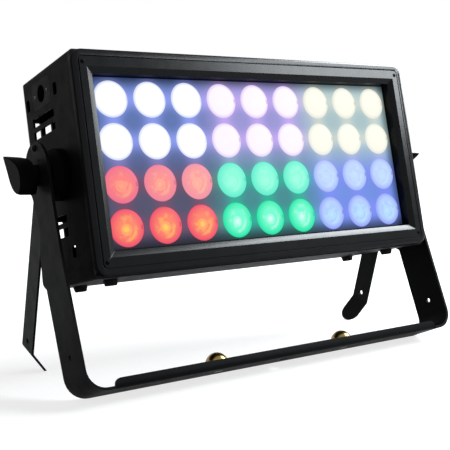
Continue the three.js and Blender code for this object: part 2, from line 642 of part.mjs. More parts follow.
function makeRearCover() {
  const inner = COVER_EDGE;
  const outline = rectangle(-HOUSING_HALF_WIDTH + inner, HOUSING_HALF_WIDTH - inner,
    -HOUSING_HALF_HEIGHT + inner, HOUSING_HALF_HEIGHT - inner, HOUSING_CORNER - inner);
  const plate = new THREE.ExtrudeGeometry(outline, {
    depth: COVER_THICKNESS - COVER_EDGE, bevelEnabled: true, bevelSize: COVER_EDGE,
    bevelThickness: COVER_EDGE, bevelSegments: 3, curveSegments: CORNER_STEPS,
  });
  plate.applyMatrix4(FRONT_VIEW);
  plate.scale(1, -1, 1);
  plate.translate(0, COVER_INNER, 0);
  const behind = prism(rectangle(-HOUSING_HALF_WIDTH - OVERRUN, HOUSING_HALF_WIDTH + OVERRUN,
    -HOUSING_HALF_HEIGHT - OVERRUN, HOUSING_HALF_HEIGHT + OVERRUN), FRONT_VIEW,
  COVER_INNER - OVERRUN, COVER_INNER);
  const through = (shape) => prism(shape, FRONT_VIEW, COVER_INNER - OVERRUN, HOUSING_DEPTH + OVERRUN);
  const cuts = [behind];
  [1, -1].forEach((sideX) => {
    for (let slot = 0; slot < GRILLE_SLOTS; slot += 1) {
      const x = sideX * (GRILLE_FIRST_X + slot * GRILLE_PITCH);
      [1, -1].forEach((sideZ) => {
        const [low, high] = sideZ > 0 ? [GRILLE_LOW, GRILLE_HIGH] : [-GRILLE_HIGH, -GRILLE_LOW];
        cuts.push(through(rectangle(x - GRILLE_SLOT_WIDTH / 2, x + GRILLE_SLOT_WIDTH / 2, low, high,
          SMALL_CORNER)));
      });
    }
    const x = sideX * REAR_SOCKET_X;
    cuts.push(through(rectangle(x - REAR_SOCKET_LENGTH / 2 - FIT_GAP, x + REAR_SOCKET_LENGTH / 2 + FIT_GAP,
      REAR_SOCKET_Z - REAR_SOCKET_HEIGHT / 2 - FIT_GAP, REAR_SOCKET_Z + REAR_SOCKET_HEIGHT / 2 + FIT_GAP,
      SOCKET_CORNER + FIT_GAP)));
  });
  cuts.push(through(rectangle(-WINDOW_HALF_WIDTH - FIT_GAP, WINDOW_HALF_WIDTH + FIT_GAP,
    WINDOW_Z - WINDOW_HALF_HEIGHT - FIT_GAP, WINDOW_Z + WINDOW_HALF_HEIGHT + FIT_GAP, SMALL_CORNER)));
  buttonPlaces().forEach((x) => cuts.push(through(circle(x, BUTTON_Z, BUTTON_RADIUS + FIT_GAP))));
  cornerPlaces(COVER_SCREW_X, COVER_SCREW_Z).forEach(([, x, z]) => {
    cuts.push(through(circle(x, z, COVER_SCREW_SHANK + FIT_GAP)));
  });
  return combine([plate], cuts);
}

// A menu button: cap through the cover, flange behind it and a short stem towards the board.
const BOARD_REAR = COVER_INNER - CONTROL_BOARD_INSET;
function makeButton() {
  const flange = COVER_INNER - FIT_GAP;
  const stem = BOARD_REAR + BUTTON_TRAVEL + FIT_GAP;
  return turned([
    [0, stem], [BUTTON_RADIUS / 2, stem], [BUTTON_RADIUS / 2, flange - BUTTON_FLANGE_THICKNESS],
    [BUTTON_FLANGE, flange - BUTTON_FLANGE_THICKNESS], [BUTTON_FLANGE, flange], [BUTTON_RADIUS, flange],
    [BUTTON_RADIUS, HOUSING_DEPTH + BUTTON_RISE - FIT_GAP],
    [BUTTON_RADIUS - FIT_GAP, HOUSING_DEPTH + BUTTON_RISE], [0, HOUSING_DEPTH + BUTTON_RISE],
  ], 'y', SMALL_ROUND_STEPS);
}

// Control board on four posts behind the rear cover.
function makeControlBoard() {
  const plate = prism(rectangle(-CONTROL_BOARD_HALF_WIDTH, CONTROL_BOARD_HALF_WIDTH, CONTROL_BOARD_LOW,
    CONTROL_BOARD_HIGH), FRONT_VIEW, BOARD_REAR - BOARD_THICKNESS, BOARD_REAR);
  const posts = [];
  [-1, 1].forEach((side) => {
    [CONTROL_BOARD_LOW + POST_INSET, CONTROL_BOARD_HIGH - POST_INSET].forEach((z) => {
      posts.push(moved(rod(POST_RADIUS, BOARD_REAR - BOARD_THICKNESS / 2, COVER_INNER - FIT_GAP, 'y', PIN_STEPS),
        side * (CONTROL_BOARD_HALF_WIDTH - POST_INSET), 0, z));
    });
  });
  return combine([plate, ...posts]);
}

function makeRubberFoot() {
  const top = -HOUSING_HALF_HEIGHT - FIT_GAP;
  return turned([[0, top - FOOT_HEIGHT], [FOOT_BOTTOM_RADIUS, top - FOOT_HEIGHT], [FOOT_TOP_RADIUS, top],
    [0, top]], 'z', SMALL_ROUND_STEPS);
}

// Pivot boss on the housing's side, with a blind bore for the stud. Made for the right side.
const BOSS_INNER = HOUSING_HALF_WIDTH + FIT_GAP;
const BOSS_OUTER = LEG_INNER - FIT_GAP;
const STUD_INNER = BOSS_INNER + BOSS_FLOOR;
function makeBoss() {
  return turned([
    [0, BOSS_INNER], [BOSS_RADIUS, BOSS_INNER], [BOSS_RADIUS, BOSS_INNER + BOSS_SHOULDER],
    [BOSS_NOSE_RADIUS, BOSS_OUTER], [STUD_RADIUS + FIT_GAP, BOSS_OUTER],
    [STUD_RADIUS + FIT_GAP, STUD_INNER], [0, STUD_INNER],
  ], 'x');
}

function makeHead() {
  const head = new THREE.Group();
  head.add(part('front_bezel', makeBezel(), FINISHES.bezel()));
  cornerPlaces(BEZEL_SCREW_X, BEZEL_SCREW_Z).forEach(([corner, x, z]) => {
    const screw = part(`bezel_screw_${corner}`, frontScrew(BEZEL_SCREW_HEAD, BEZEL_SCREW_RISE,
      BEZEL_SCREW_SHANK, BEZEL_SCREW_SOCKET, -BEZEL_DEPTH, -FIT_GAP), FINISHES.blackSteel());
    screw.position.set(x, 0, z);
    head.add(screw);
  });
  head.add(part('lens_mask', makeMask(), FINISHES.mask()));
  ['top', 'bottom'].forEach((rowName, zoneRow) => {
    ['left', 'middle', 'right'].forEach((columnName, zoneColumn) => {
      const zone = `${rowName}_${columnName}`;
      head.add(part(`lens_zone_${zone}`, makeLensZone(zoneColumn, zoneRow),
        finish(ZONE_COLOURS[zone], 0.2, 0, { emissive: ZONE_COLOURS[zone], emissiveIntensity: 0.6 })));
    });
  });
  head.add(part('led_board', makeLedBoard(), FINISHES.board()));
  head.add(part('heat_sink', makeHeatSink(), FINISHES.sink()));
  head.add(part('housing', makeHousing(), FINISHES.housing()));
  head.add(part('rear_cover', makeRearCover(), FINISHES.housing()));
  cornerPlaces(COVER_SCREW_X, COVER_SCREW_Z).forEach(([corner, x, z]) => {
    const screw = part(`cover_screw_${corner}`, frontScrew(COVER_SCREW_RADIUS, COVER_SCREW_RISE,
      COVER_SCREW_SHANK, COVER_SCREW_SHANK, 0, COVER_SCREW_LENGTH), FINISHES.steel());
    screw.rotation.z = Math.PI;
    screw.position.set(x, HOUSING_DEPTH, z);
    head.add(screw);
  });
  const pane = prism(rectangle(-WINDOW_HALF_WIDTH, WINDOW_HALF_WIDTH, WINDOW_Z - WINDOW_HALF_HEIGHT,
    WINDOW_Z + WINDOW_HALF_HEIGHT, SMALL_CORNER), FRONT_VIEW, HOUSING_DEPTH - WINDOW_THICKNESS,
  HOUSING_DEPTH, CORNER_STEPS);
  head.add(part('display_window', pane, FINISHES.display()));
  head.add(part('control_board', makeControlBoard(), FINISHES.circuit()));
  buttonPlaces().forEach((x, i) => {
    const button = part(`menu_button_${i + 1}`, makeButton(), FINISHES.knob());
    button.position.set(x, 0, BUTTON_Z);
    head.add(button);
  });
  const floor = -INNER_HALF_HEIGHT + FIT_GAP;
  head.add(part('power_supply', prism(rectangle(FIN_END + SUPPLY_FRONT_GAP, HOUSING_DEPTH - SUPPLY_REAR_GAP,
    floor, floor + SUPPLY_HEIGHT), SIDE_VIEW, -SUPPLY_HALF_WIDTH, SUPPLY_HALF_WIDTH), FINISHES.supply()));
  SIDES.forEach(([name, side]) => {
    const use = side < 0 ? 'power_in_socket' : 'power_out_socket';
    const socket = part(use, makeSocket(SIDE_SOCKET_LENGTH, SIDE_SOCKET_HEIGHT, WALL, SIDE_SOCKET_BORE),
      FINISHES.socket());
    socket.rotation.z = side < 0 ? 0 : Math.PI;
    socket.position.set(side * HOUSING_HALF_WIDTH, SIDE_SOCKET_Y, SIDE_SOCKET_Z);
    head.add(socket);
    const data = part(side < 0 ? 'data_out_socket' : 'data_in_socket', makeSocket(REAR_SOCKET_LENGTH,
      REAR_SOCKET_HEIGHT, COVER_THICKNESS, REAR_SOCKET_BORE), FINISHES.socket());
    data.rotation.z = -Math.PI / 2;
    data.position.set(side * REAR_SOCKET_X, HOUSING_DEPTH, REAR_SOCKET_Z);
    head.add(data);
    const boss = part(`${name}_boss`, onSide(makeBoss(), side), FINISHES.yoke());
    boss.position.set(0, PIVOT_Y, PIVOT_Z);
    head.add(boss);
    [['front', FOOT_FRONT_Y], ['rear', FOOT_REAR_Y]].forEach(([place, y]) => {
      const foot = part(`rubber_foot_${name}_${place}`, makeRubberFoot(), FINISHES.rubber());
      foot.position.set(side * FOOT_X, y, 0);
      head.add(foot);
    });
  });
  return head;
}

// Yoke. In its own frame the tilt axis is the x axis and the arms run down along -z.
const ARM_INNER = ARM_OUTER - SHEET;
const BAR_INNER = -ARM_LENGTH + SHEET;
const BAR_CENTRE = (ARM_BACK - ARM_FRONT) / 2;

// Side outline of an arm: round head, flared front edge, waisted neck and the bump below it.
function armOutline() {
  const shape = new THREE.Shape();
  const headTurn = radians(ARM_HEAD_END_ANGLE);
  shape.moveTo(-ARM_FRONT, -ARM_LENGTH - OVERRUN);
  shape.lineTo(ARM_BACK, -ARM_LENGTH - OVERRUN);
  shape.lineTo(ARM_BACK, -BUMP_END_DROP);
  shape.splineThru([
    new THREE.Vector2(BUMP_BACK, -BUMP_DROP),
    new THREE.Vector2((BUMP_BACK + SHOULDER_BACK) / 2, -(BUMP_DROP + SHOULDER_DROP) / 2),
    new THREE.Vector2(SHOULDER_BACK, -SHOULDER_DROP),
    new THREE.Vector2(NECK_BACK, -NECK_DROP),
    new THREE.Vector2(ARM_HEAD_RADIUS * Math.cos(headTurn) - ARM_HEAD_FORWARD,
      ARM_HEAD_RISE - ARM_HEAD_RADIUS * Math.sin(headTurn)),
  ]);
  shape.absarc(-ARM_HEAD_FORWARD, ARM_HEAD_RISE, ARM_HEAD_RADIUS, -headTurn, Math.PI);
  shape.quadraticCurveTo(-FLARE_MID_FORWARD, -FLARE_MID_DROP, -ARM_FRONT, -FLARE_DROP);
  return shape;
}

// Front outline of the folded strip: a U of constant thickness.
function foldedStrip() {
  const top = ARM_HEAD_RISE + ARM_HEAD_RADIUS + OVERRUN;
  const shape = new THREE.Shape();
  const inside = FOLD_RADIUS - SHEET;
  const fold = ARM_OUTER - FOLD_RADIUS;
  shape.moveTo(-ARM_OUTER, top);
  shape.lineTo(-ARM_OUTER, -ARM_LENGTH + FOLD_RADIUS);
  shape.absarc(-fold, -ARM_LENGTH + FOLD_RADIUS, FOLD_RADIUS, Math.PI, Math.PI * 1.5);
  shape.absarc(fold, -ARM_LENGTH + FOLD_RADIUS, FOLD_RADIUS, -Math.PI / 2, 0);
  shape.lineTo(ARM_OUTER, top);
  shape.lineTo(ARM_INNER, top);
  shape.absarc(fold, -ARM_LENGTH + FOLD_RADIUS, inside, 0, -Math.PI / 2, true);
  shape.absarc(-fold, -ARM_LENGTH + FOLD_RADIUS, inside, -Math.PI / 2, -Math.PI, true);
  shape.lineTo(-ARM_INNER, top);
  return shape;
}

// Section of the bar's front edge, folded up into a stiffening lip.
function lipSection() {
  const shape = new THREE.Shape();
  const front = -ARM_FRONT;
  const low = -ARM_LENGTH;
  shape.moveTo(BAR_CENTRE, low);
  shape.lineTo(BAR_CENTRE, low + SHEET);
  shape.lineTo(front + LIP_RADIUS, low + SHEET);
  shape.absarc(front + LIP_RADIUS, low + LIP_RADIUS, LIP_RADIUS - SHEET, -Math.PI / 2, -Math.PI, true);
  shape.lineTo(front + SHEET, low + LIP_HEIGHT);
  shape.lineTo(front, low + LIP_HEIGHT);
  shape.absarc(front + LIP_RADIUS, low + LIP_RADIUS, LIP_RADIUS, Math.PI, Math.PI * 1.5);
  return shape;
}

// The lip's face outline: full length, with its top corners rounded off.
function lipOutline() {
  return rectangle(-LIP_HALF_LENGTH, LIP_HALF_LENGTH, -ARM_LENGTH - LIP_HEIGHT, -ARM_LENGTH + LIP_HEIGHT,
    LIP_CORNER);
}

function makeYoke() {
  const strip = prism(foldedStrip(), FRONT_VIEW, -ARM_HEAD_RADIUS - OVERRUN, BUMP_BACK + OVERRUN,
    CORNER_STEPS);
  const profile = prism(armOutline(), SIDE_VIEW, -ARM_OUTER - OVERRUN, ARM_OUTER + OVERRUN, PROFILE_STEPS);
  const folded = intersect(strip, profile);
  const edge = prism(rectangle(-ARM_FRONT - OVERRUN, LIP_RADIUS - ARM_FRONT, -ARM_LENGTH - OVERRUN,
    BAR_INNER + FIT_GAP), SIDE_VIEW, -LIP_HALF_LENGTH, LIP_HALF_LENGTH);
  const lip = intersect(prism(lipSection(), SIDE_VIEW, -LIP_HALF_LENGTH, LIP_HALF_LENGTH),
    prism(lipOutline(), FRONT_VIEW, -ARM_FRONT - OVERRUN, ARM_BACK));
  const across = (outline) => prism(outline, SIDE_VIEW, -ARM_OUTER - OVERRUN, ARM_OUTER + OVERRUN);
  const down = (x, radius) => moved(rod(radius, -ARM_LENGTH - OVERRUN, BAR_INNER + OVERRUN, 'z'), x,
    BAR_CENTRE, 0);
  return combine([combine([folded], [edge]), lip], [
    across(circle(0, 0, STUD_RADIUS + FIT_GAP, ROUND_STEPS)),
    across(circle(BAR_CENTRE, -ARM_HOLE_DROP, ARM_HOLE_RADIUS)),
    across(circle(-ARM_SCREW_FORWARD, ARM_SCREW_RISE, ARM_SCREW_SHANK + FIT_GAP)),
    across(circle(-INDEX_HOLE_FORWARD, INDEX_HOLE_RISE, INDEX_HOLE_RADIUS)),
    down(0, CLAMP_HOLE_RADIUS),
    down(-BAR_BOLT_X, BAR_BOLT_SHANK + FIT_GAP),
    down(BAR_BOLT_X, BAR_BOLT_SHANK + FIT_GAP),
  ]);
}

// Dome bolt: flat base, round dome and a shank through the bar.
function makeBarBolt() {
  const seat = BAR_INNER + FIT_GAP;
  const points = [[0, -ARM_LENGTH], [BAR_BOLT_SHANK, -ARM_LENGTH], [BAR_BOLT_SHANK, seat],
    [BAR_BOLT_RADIUS, seat]];
  const domeSteps = 6;
  for (let step = 0; step < domeSteps; step += 1) {
    const angle = (step / domeSteps) * Math.PI / 2;
    points.push([BAR_BOLT_RADIUS * Math.cos(angle),
      seat + BAR_BOLT_BASE + BAR_BOLT_RADIUS * Math.sin(angle)]);
  }
  points.push([0, seat + BAR_BOLT_BASE + BAR_BOLT_RADIUS]);
  return turned(points, 'z');
}

// Small dome screw through the arm's head, made for the right side.
function makeArmScrew() {
  const seat = ARM_OUTER + FIT_GAP;
  const rise = ARM_SCREW_RADIUS * ARM_SCREW_RISE_SHARE;
  const [shoulder, crown] = [ARM_SCREW_SHOULDER_SHARES, ARM_SCREW_CROWN_SHARES].map(
    ([radiusShare, riseShare]) => [ARM_SCREW_RADIUS * radiusShare, seat + rise * riseShare]);
  return turned([
    [0, ARM_INNER - FIT_GAP], [ARM_SCREW_SHANK, ARM_INNER - FIT_GAP], [ARM_SCREW_SHANK, seat],
    [ARM_SCREW_RADIUS, seat], shoulder, crown, [0, seat + rise],
  ], 'x', SMALL_ROUND_STEPS);
}

function makeYokeGroup() {
  const yoke = new THREE.Group();
  yoke.add(part('front_yoke', makeYoke(), FINISHES.yoke()));
  const legOuter = LEG_INNER + LEG_THICKNESS;
  SIDES.forEach(([name, side]) => {
    const bolt = part(`bar_bolt_${name}`, makeBarBolt(), FINISHES.zinc());
    bolt.position.set(side * BAR_BOLT_X, BAR_CENTRE, 0);
    yoke.add(bolt);
    const screw = part(`arm_screw_${name}`, onSide(makeArmScrew(), side), FINISHES.blackSteel());
    screw.position.set(0, -ARM_SCREW_FORWARD, ARM_SCREW_RISE);
    yoke.add(screw);
    const washer = turned([
      [STUD_RADIUS + FIT_GAP, legOuter + FIT_GAP], [WASHER_RADIUS, legOuter + FIT_GAP],
      [WASHER_RADIUS, ARM_INNER - FIT_GAP], [STUD_RADIUS + FIT_GAP, ARM_INNER - FIT_GAP],
      [STUD_RADIUS + FIT_GAP, legOuter + FIT_GAP],
    ], 'x');
    yoke.add(part(`pivot_washer_${name}`, onSide(washer, side), FINISHES.steel()));
  });
  return yoke;
}

// The floor lies at the rear lower edge of the bar.
const FLOOR_DROP = ARM_BACK * Math.sin(radians(YOKE_LEAN)) + ARM_LENGTH * Math.cos(radians(YOKE_LEAN));
const LEG_LENGTH = (FLOOR_DROP - FOOT_RISE) / Math.cos(radians(LEG_SPREAD));

// Rear leg for the right side, in a frame whose -z runs down the leg. The foot is long enough for
// the low side of its rounded end to meet the floor.
function makeLeg() {
  const bend = radians(FOOT_BEND);
  const radius = LEG_WIDTH / 2;
  const slope = Math.cos(radians(LEG_SPREAD));
  const sideways = Math.sin(radians(LEG_SPREAD));
  const endReach = radius * Math.hypot(Math.cos(bend) * slope, sideways);
  const endDrop = (FLOOR_DROP - endReach) / slope;
  const footLength = (endDrop - LEG_LENGTH) / Math.cos(bend) + radius;
  const outer = LEG_INNER + LEG_THICKNESS;
  const setback = Math.tan(bend / 2) * FOOT_BEND_RADIUS;
  const innerSetback = Math.tan(bend / 2) * (FOOT_BEND_RADIUS - LEG_THICKNESS);
  const innerBend = LEG_LENGTH - Math.tan(bend / 2) * LEG_THICKNESS;
  const shape = new THREE.Shape();
  const along = (x, z, length) => [x - Math.sin(bend) * length, z - Math.cos(bend) * length];
  shape.moveTo(outer, radius);
  shape.lineTo(LEG_INNER, radius);
  shape.lineTo(LEG_INNER, -innerBend + innerSetback);
  shape.quadraticCurveTo(LEG_INNER, -innerBend, ...along(LEG_INNER, -innerBend, innerSetback));
  shape.lineTo(...along(LEG_INNER, -innerBend, footLength + LEG_THICKNESS));
  shape.lineTo(...along(outer, -LEG_LENGTH, footLength + LEG_THICKNESS));
  shape.lineTo(...along(outer, -LEG_LENGTH, setback));
  shape.quadraticCurveTo(outer, -LEG_LENGTH, outer, -LEG_LENGTH + setback);
  const strip = prism(shape, FRONT_VIEW, -radius - OVERRUN, radius + OVERRUN, CORNER_STEPS);
  const side = new THREE.Shape();
  const endZ = -LEG_LENGTH - (footLength - radius) * Math.cos(bend);
  side.absarc(0, 0, radius, 0, Math.PI);
  side.lineTo(-radius, endZ);
  side.absellipse(0, endZ, radius, radius * Math.cos(bend), Math.PI, Math.PI * 2);
  const blade = intersect(strip, prism(side, SIDE_VIEW, 0, ARM_OUTER, PROFILE_STEPS));
  return combine([blade], [
    rod(STUD_RADIUS + FIT_GAP, LEG_INNER - OVERRUN, outer + OVERRUN, 'x', ROUND_STEPS),
    moved(rod(LEG_HOLE_RADIUS, LEG_INNER - OVERRUN, outer + OVERRUN, 'x'), 0, 0, LEG_HOLE_HEIGHT - LEG_LENGTH),
  ]);
}

// Wing knob for the right side, its blade standing along z, and the stud moulded into it.
const KNOB_SEAT = ARM_OUTER + FIT_GAP;
function makeKnob() {
  const blade = new THREE.Shape();
  const inner = KNOB_SEAT + KNOB_NECK;
  blade.moveTo(-KNOB_HALF_SPAN + KNOB_INNER_CORNER, inner);
  blade.lineTo(KNOB_HALF_SPAN - KNOB_INNER_CORNER, inner);
  blade.absarc(KNOB_HALF_SPAN - KNOB_INNER_CORNER, inner + KNOB_INNER_CORNER, KNOB_INNER_CORNER,
    -Math.PI / 2, 0);
  blade.absarc(KNOB_HALF_SPAN - KNOB_OUTER_CORNER, KNOB_END - KNOB_OUTER_CORNER, KNOB_OUTER_CORNER,
    0, Math.PI / 2);
  blade.absarc(KNOB_OUTER_CORNER - KNOB_HALF_SPAN, KNOB_END - KNOB_OUTER_CORNER, KNOB_OUTER_CORNER,
    Math.PI / 2, Math.PI);
  blade.absarc(KNOB_INNER_CORNER - KNOB_HALF_SPAN, inner + KNOB_INNER_CORNER, KNOB_INNER_CORNER,
    Math.PI, Math.PI * 1.5);
  const wing = prism(blade, PLAN_VIEW, -KNOB_BLADE / 2, KNOB_BLADE / 2, CORNER_STEPS);
  wing.applyMatrix4(new THREE.Matrix4().makeBasis(
    new THREE.Vector3(0, 0, 1), new THREE.Vector3(1, 0, 0), new THREE.Vector3(0, 1, 0)));
  const hub = turned([
    [0, KNOB_SEAT], [KNOB_NECK_RADIUS, KNOB_SEAT], [KNOB_NECK_RADIUS, inner + KNOB_INNER_CORNER],
    [KNOB_BLADE, KNOB_HUB_END], [0, KNOB_HUB_END],
  ], 'x', SMALL_ROUND_STEPS);
  return combine([wing, hub], [rod(STUD_RADIUS + FIT_GAP, KNOB_SEAT - OVERRUN,
    KNOB_SEAT + STUD_IN_KNOB, 'x', ROUND_STEPS)]);
}

function makeStud() {
  const end = KNOB_SEAT + STUD_IN_KNOB - FIT_GAP;
  return rod(STUD_RADIUS, STUD_INNER + FIT_GAP, end, 'x', ROUND_STEPS);
}

// Assembly around the tilt axis.
const washLight = new THREE.Group();
const frame = new THREE.Group();
washLight.add(frame);

const headTurn = new THREE.Group();
headTurn.rotation.x = -radians(HEAD_TILT);
const head = makeHead();
head.position.set(0, -PIVOT_Y, -PIVOT_Z);
headTurn.add(head);
frame.add(headTurn);

const yokeTurn = makeYokeGroup();
yokeTurn.rotation.x = -radians(YOKE_LEAN);
frame.add(yokeTurn);

SIDES.forEach(([name, side]) => {
  const leg = part(`${name}_leg`, onSide(makeLeg(), side), FINISHES.leg());
  leg.rotation.x = radians(LEG_SPREAD);
  frame.add(leg);
  const clamp = new THREE.Group();
  clamp.rotation.x = radians(side < 0 ? LEFT_KNOB_ANGLE : RIGHT_KNOB_ANGLE);
  clamp.add(part(`${name}_knob`, onSide(makeKnob(), side), FINISHES.knob()));
  clamp.add(part(`${name}_stud`, onSide(makeStud(), side), FINISHES.steel()));
  frame.add(clamp);
});

// The origin is on the floor, below the middle of the whole light.
washLight.updateMatrixWorld(true);
const bounds = new THREE.Box3().setFromObject(washLight, true);
const centre = bounds.getCenter(new THREE.Vector3());
frame.position.set(-centre.x, -centre.y, -bounds.min.z);
washLight.updateMatrixWorld(true);

export default washLight;
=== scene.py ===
"""Looks of a floor-standing LED wash light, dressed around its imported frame."""
import json
import logging
import math
from dataclasses import dataclass, field
from enum import Enum
from typing import Callable, Sequence

import bmesh
import bpy
from mathutils import Matrix, Vector


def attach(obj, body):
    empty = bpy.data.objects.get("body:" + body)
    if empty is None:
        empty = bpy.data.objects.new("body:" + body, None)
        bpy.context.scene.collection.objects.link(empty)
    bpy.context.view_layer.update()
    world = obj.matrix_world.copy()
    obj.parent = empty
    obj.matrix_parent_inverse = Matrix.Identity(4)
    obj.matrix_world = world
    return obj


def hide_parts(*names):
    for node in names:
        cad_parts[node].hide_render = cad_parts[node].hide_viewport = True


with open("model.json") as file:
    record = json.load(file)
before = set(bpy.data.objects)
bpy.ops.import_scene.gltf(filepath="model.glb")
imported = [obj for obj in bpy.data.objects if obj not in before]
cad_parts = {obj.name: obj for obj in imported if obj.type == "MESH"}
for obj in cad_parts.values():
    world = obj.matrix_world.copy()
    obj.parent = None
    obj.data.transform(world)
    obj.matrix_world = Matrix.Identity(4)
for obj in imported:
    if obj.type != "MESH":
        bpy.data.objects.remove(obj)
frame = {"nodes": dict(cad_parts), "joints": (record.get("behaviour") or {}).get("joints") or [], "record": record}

Colour = tuple[float, float, float]
Point = tuple[float, float, float]
Span = tuple[float, float]
Socket = bpy.types.NodeSocket
Piece = bpy.types.Object

LOG = logging.getLogger("wash_light")
MM = 0.001
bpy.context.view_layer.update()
TILT_AXIS = next(joint["pos_m"] for joint in frame["joints"] if joint["name"] == "head_tilt")

# Angles in degrees: edges above the first are rounded and shaded sharp, and those under the second are
# taken out of a merged copy.
SHARP_ANGLE = 35.0
FLAT_ANGLE = 0.5
# How near doubled points lie, in metres for a CAD node and in millimetres for a new mesh.
NODE_WELD = 1e-6
MESH_WELD = 1e-4

WHITE: Colour = (1.0, 1.0, 1.0)
BLACK: Colour = (0.0, 0.0, 0.0)


class Side(Enum):
    """The viewer's left or right, as a sign on x."""

    LEFT = -1
    RIGHT = 1

    @property
    def word(self) -> str:
        """The side's name as node names use it."""
        return self.name.lower()


class Corner(Enum):
    """The four corners of the head, as node names use them."""

    TOP_LEFT = "top_left"
    TOP_RIGHT = "top_right"
    BOTTOM_LEFT = "bottom_left"
    BOTTOM_RIGHT = "bottom_right"


class Border(Enum):
    """The lens panel's borders, as an axis of the panel's map and the sign along it."""

    RIGHT = (0, 1)
    LEFT = (0, -1)
    TOP = (1, 1)
    BOTTOM = (1, -1)


def linear(level: int) -> float:
    """Turns one display level, 0 to 255, into a linear one."""
    share = level / 255.0
    return share / 12.92 if share <= 0.04045 else ((share + 0.055) / 1.055) ** 2.4


def srgb(red: int, green: int, blue: int) -> Colour:
    """Turns a display colour, 0 to 255, into a linear one."""
    return (linear(red), linear(green), linear(blue))


def scaled(colour: Colour, share: float) -> Colour:
    """Darkens or lightens a colour by a factor."""
    return (colour[0] * share, colour[1] * share, colour[2] * share)


# Turned frames.


@dataclass(frozen=True)
class Placement:
    """A frame turned about the tilt axis, with local lengths in millimetres.

    ``turn`` is the angle about +x in degrees, and ``axis_y`` and ``axis_z`` say where the tilt axis
    lies in the local frame.
    """

    turn: float
    axis_y: float = 0.0
    axis_z: float = 0.0

    def matrix(self) -> Matrix:
        """The map from local millimetres to metres in the shared frame.

        Returns:
            The matrix.
        """
        shift = Matrix.Translation((0.0, -self.axis_y, -self.axis_z))
        turn = Matrix.Rotation(math.radians(self.turn), 4, "X")
        return Matrix.Translation(TILT_AXIS) @ Matrix.Scale(MM, 4) @ turn @ shift


HEAD_PLACE = Placement(turn=-13.84, axis_y=47.4, axis_z=-1.3)


# Materials.


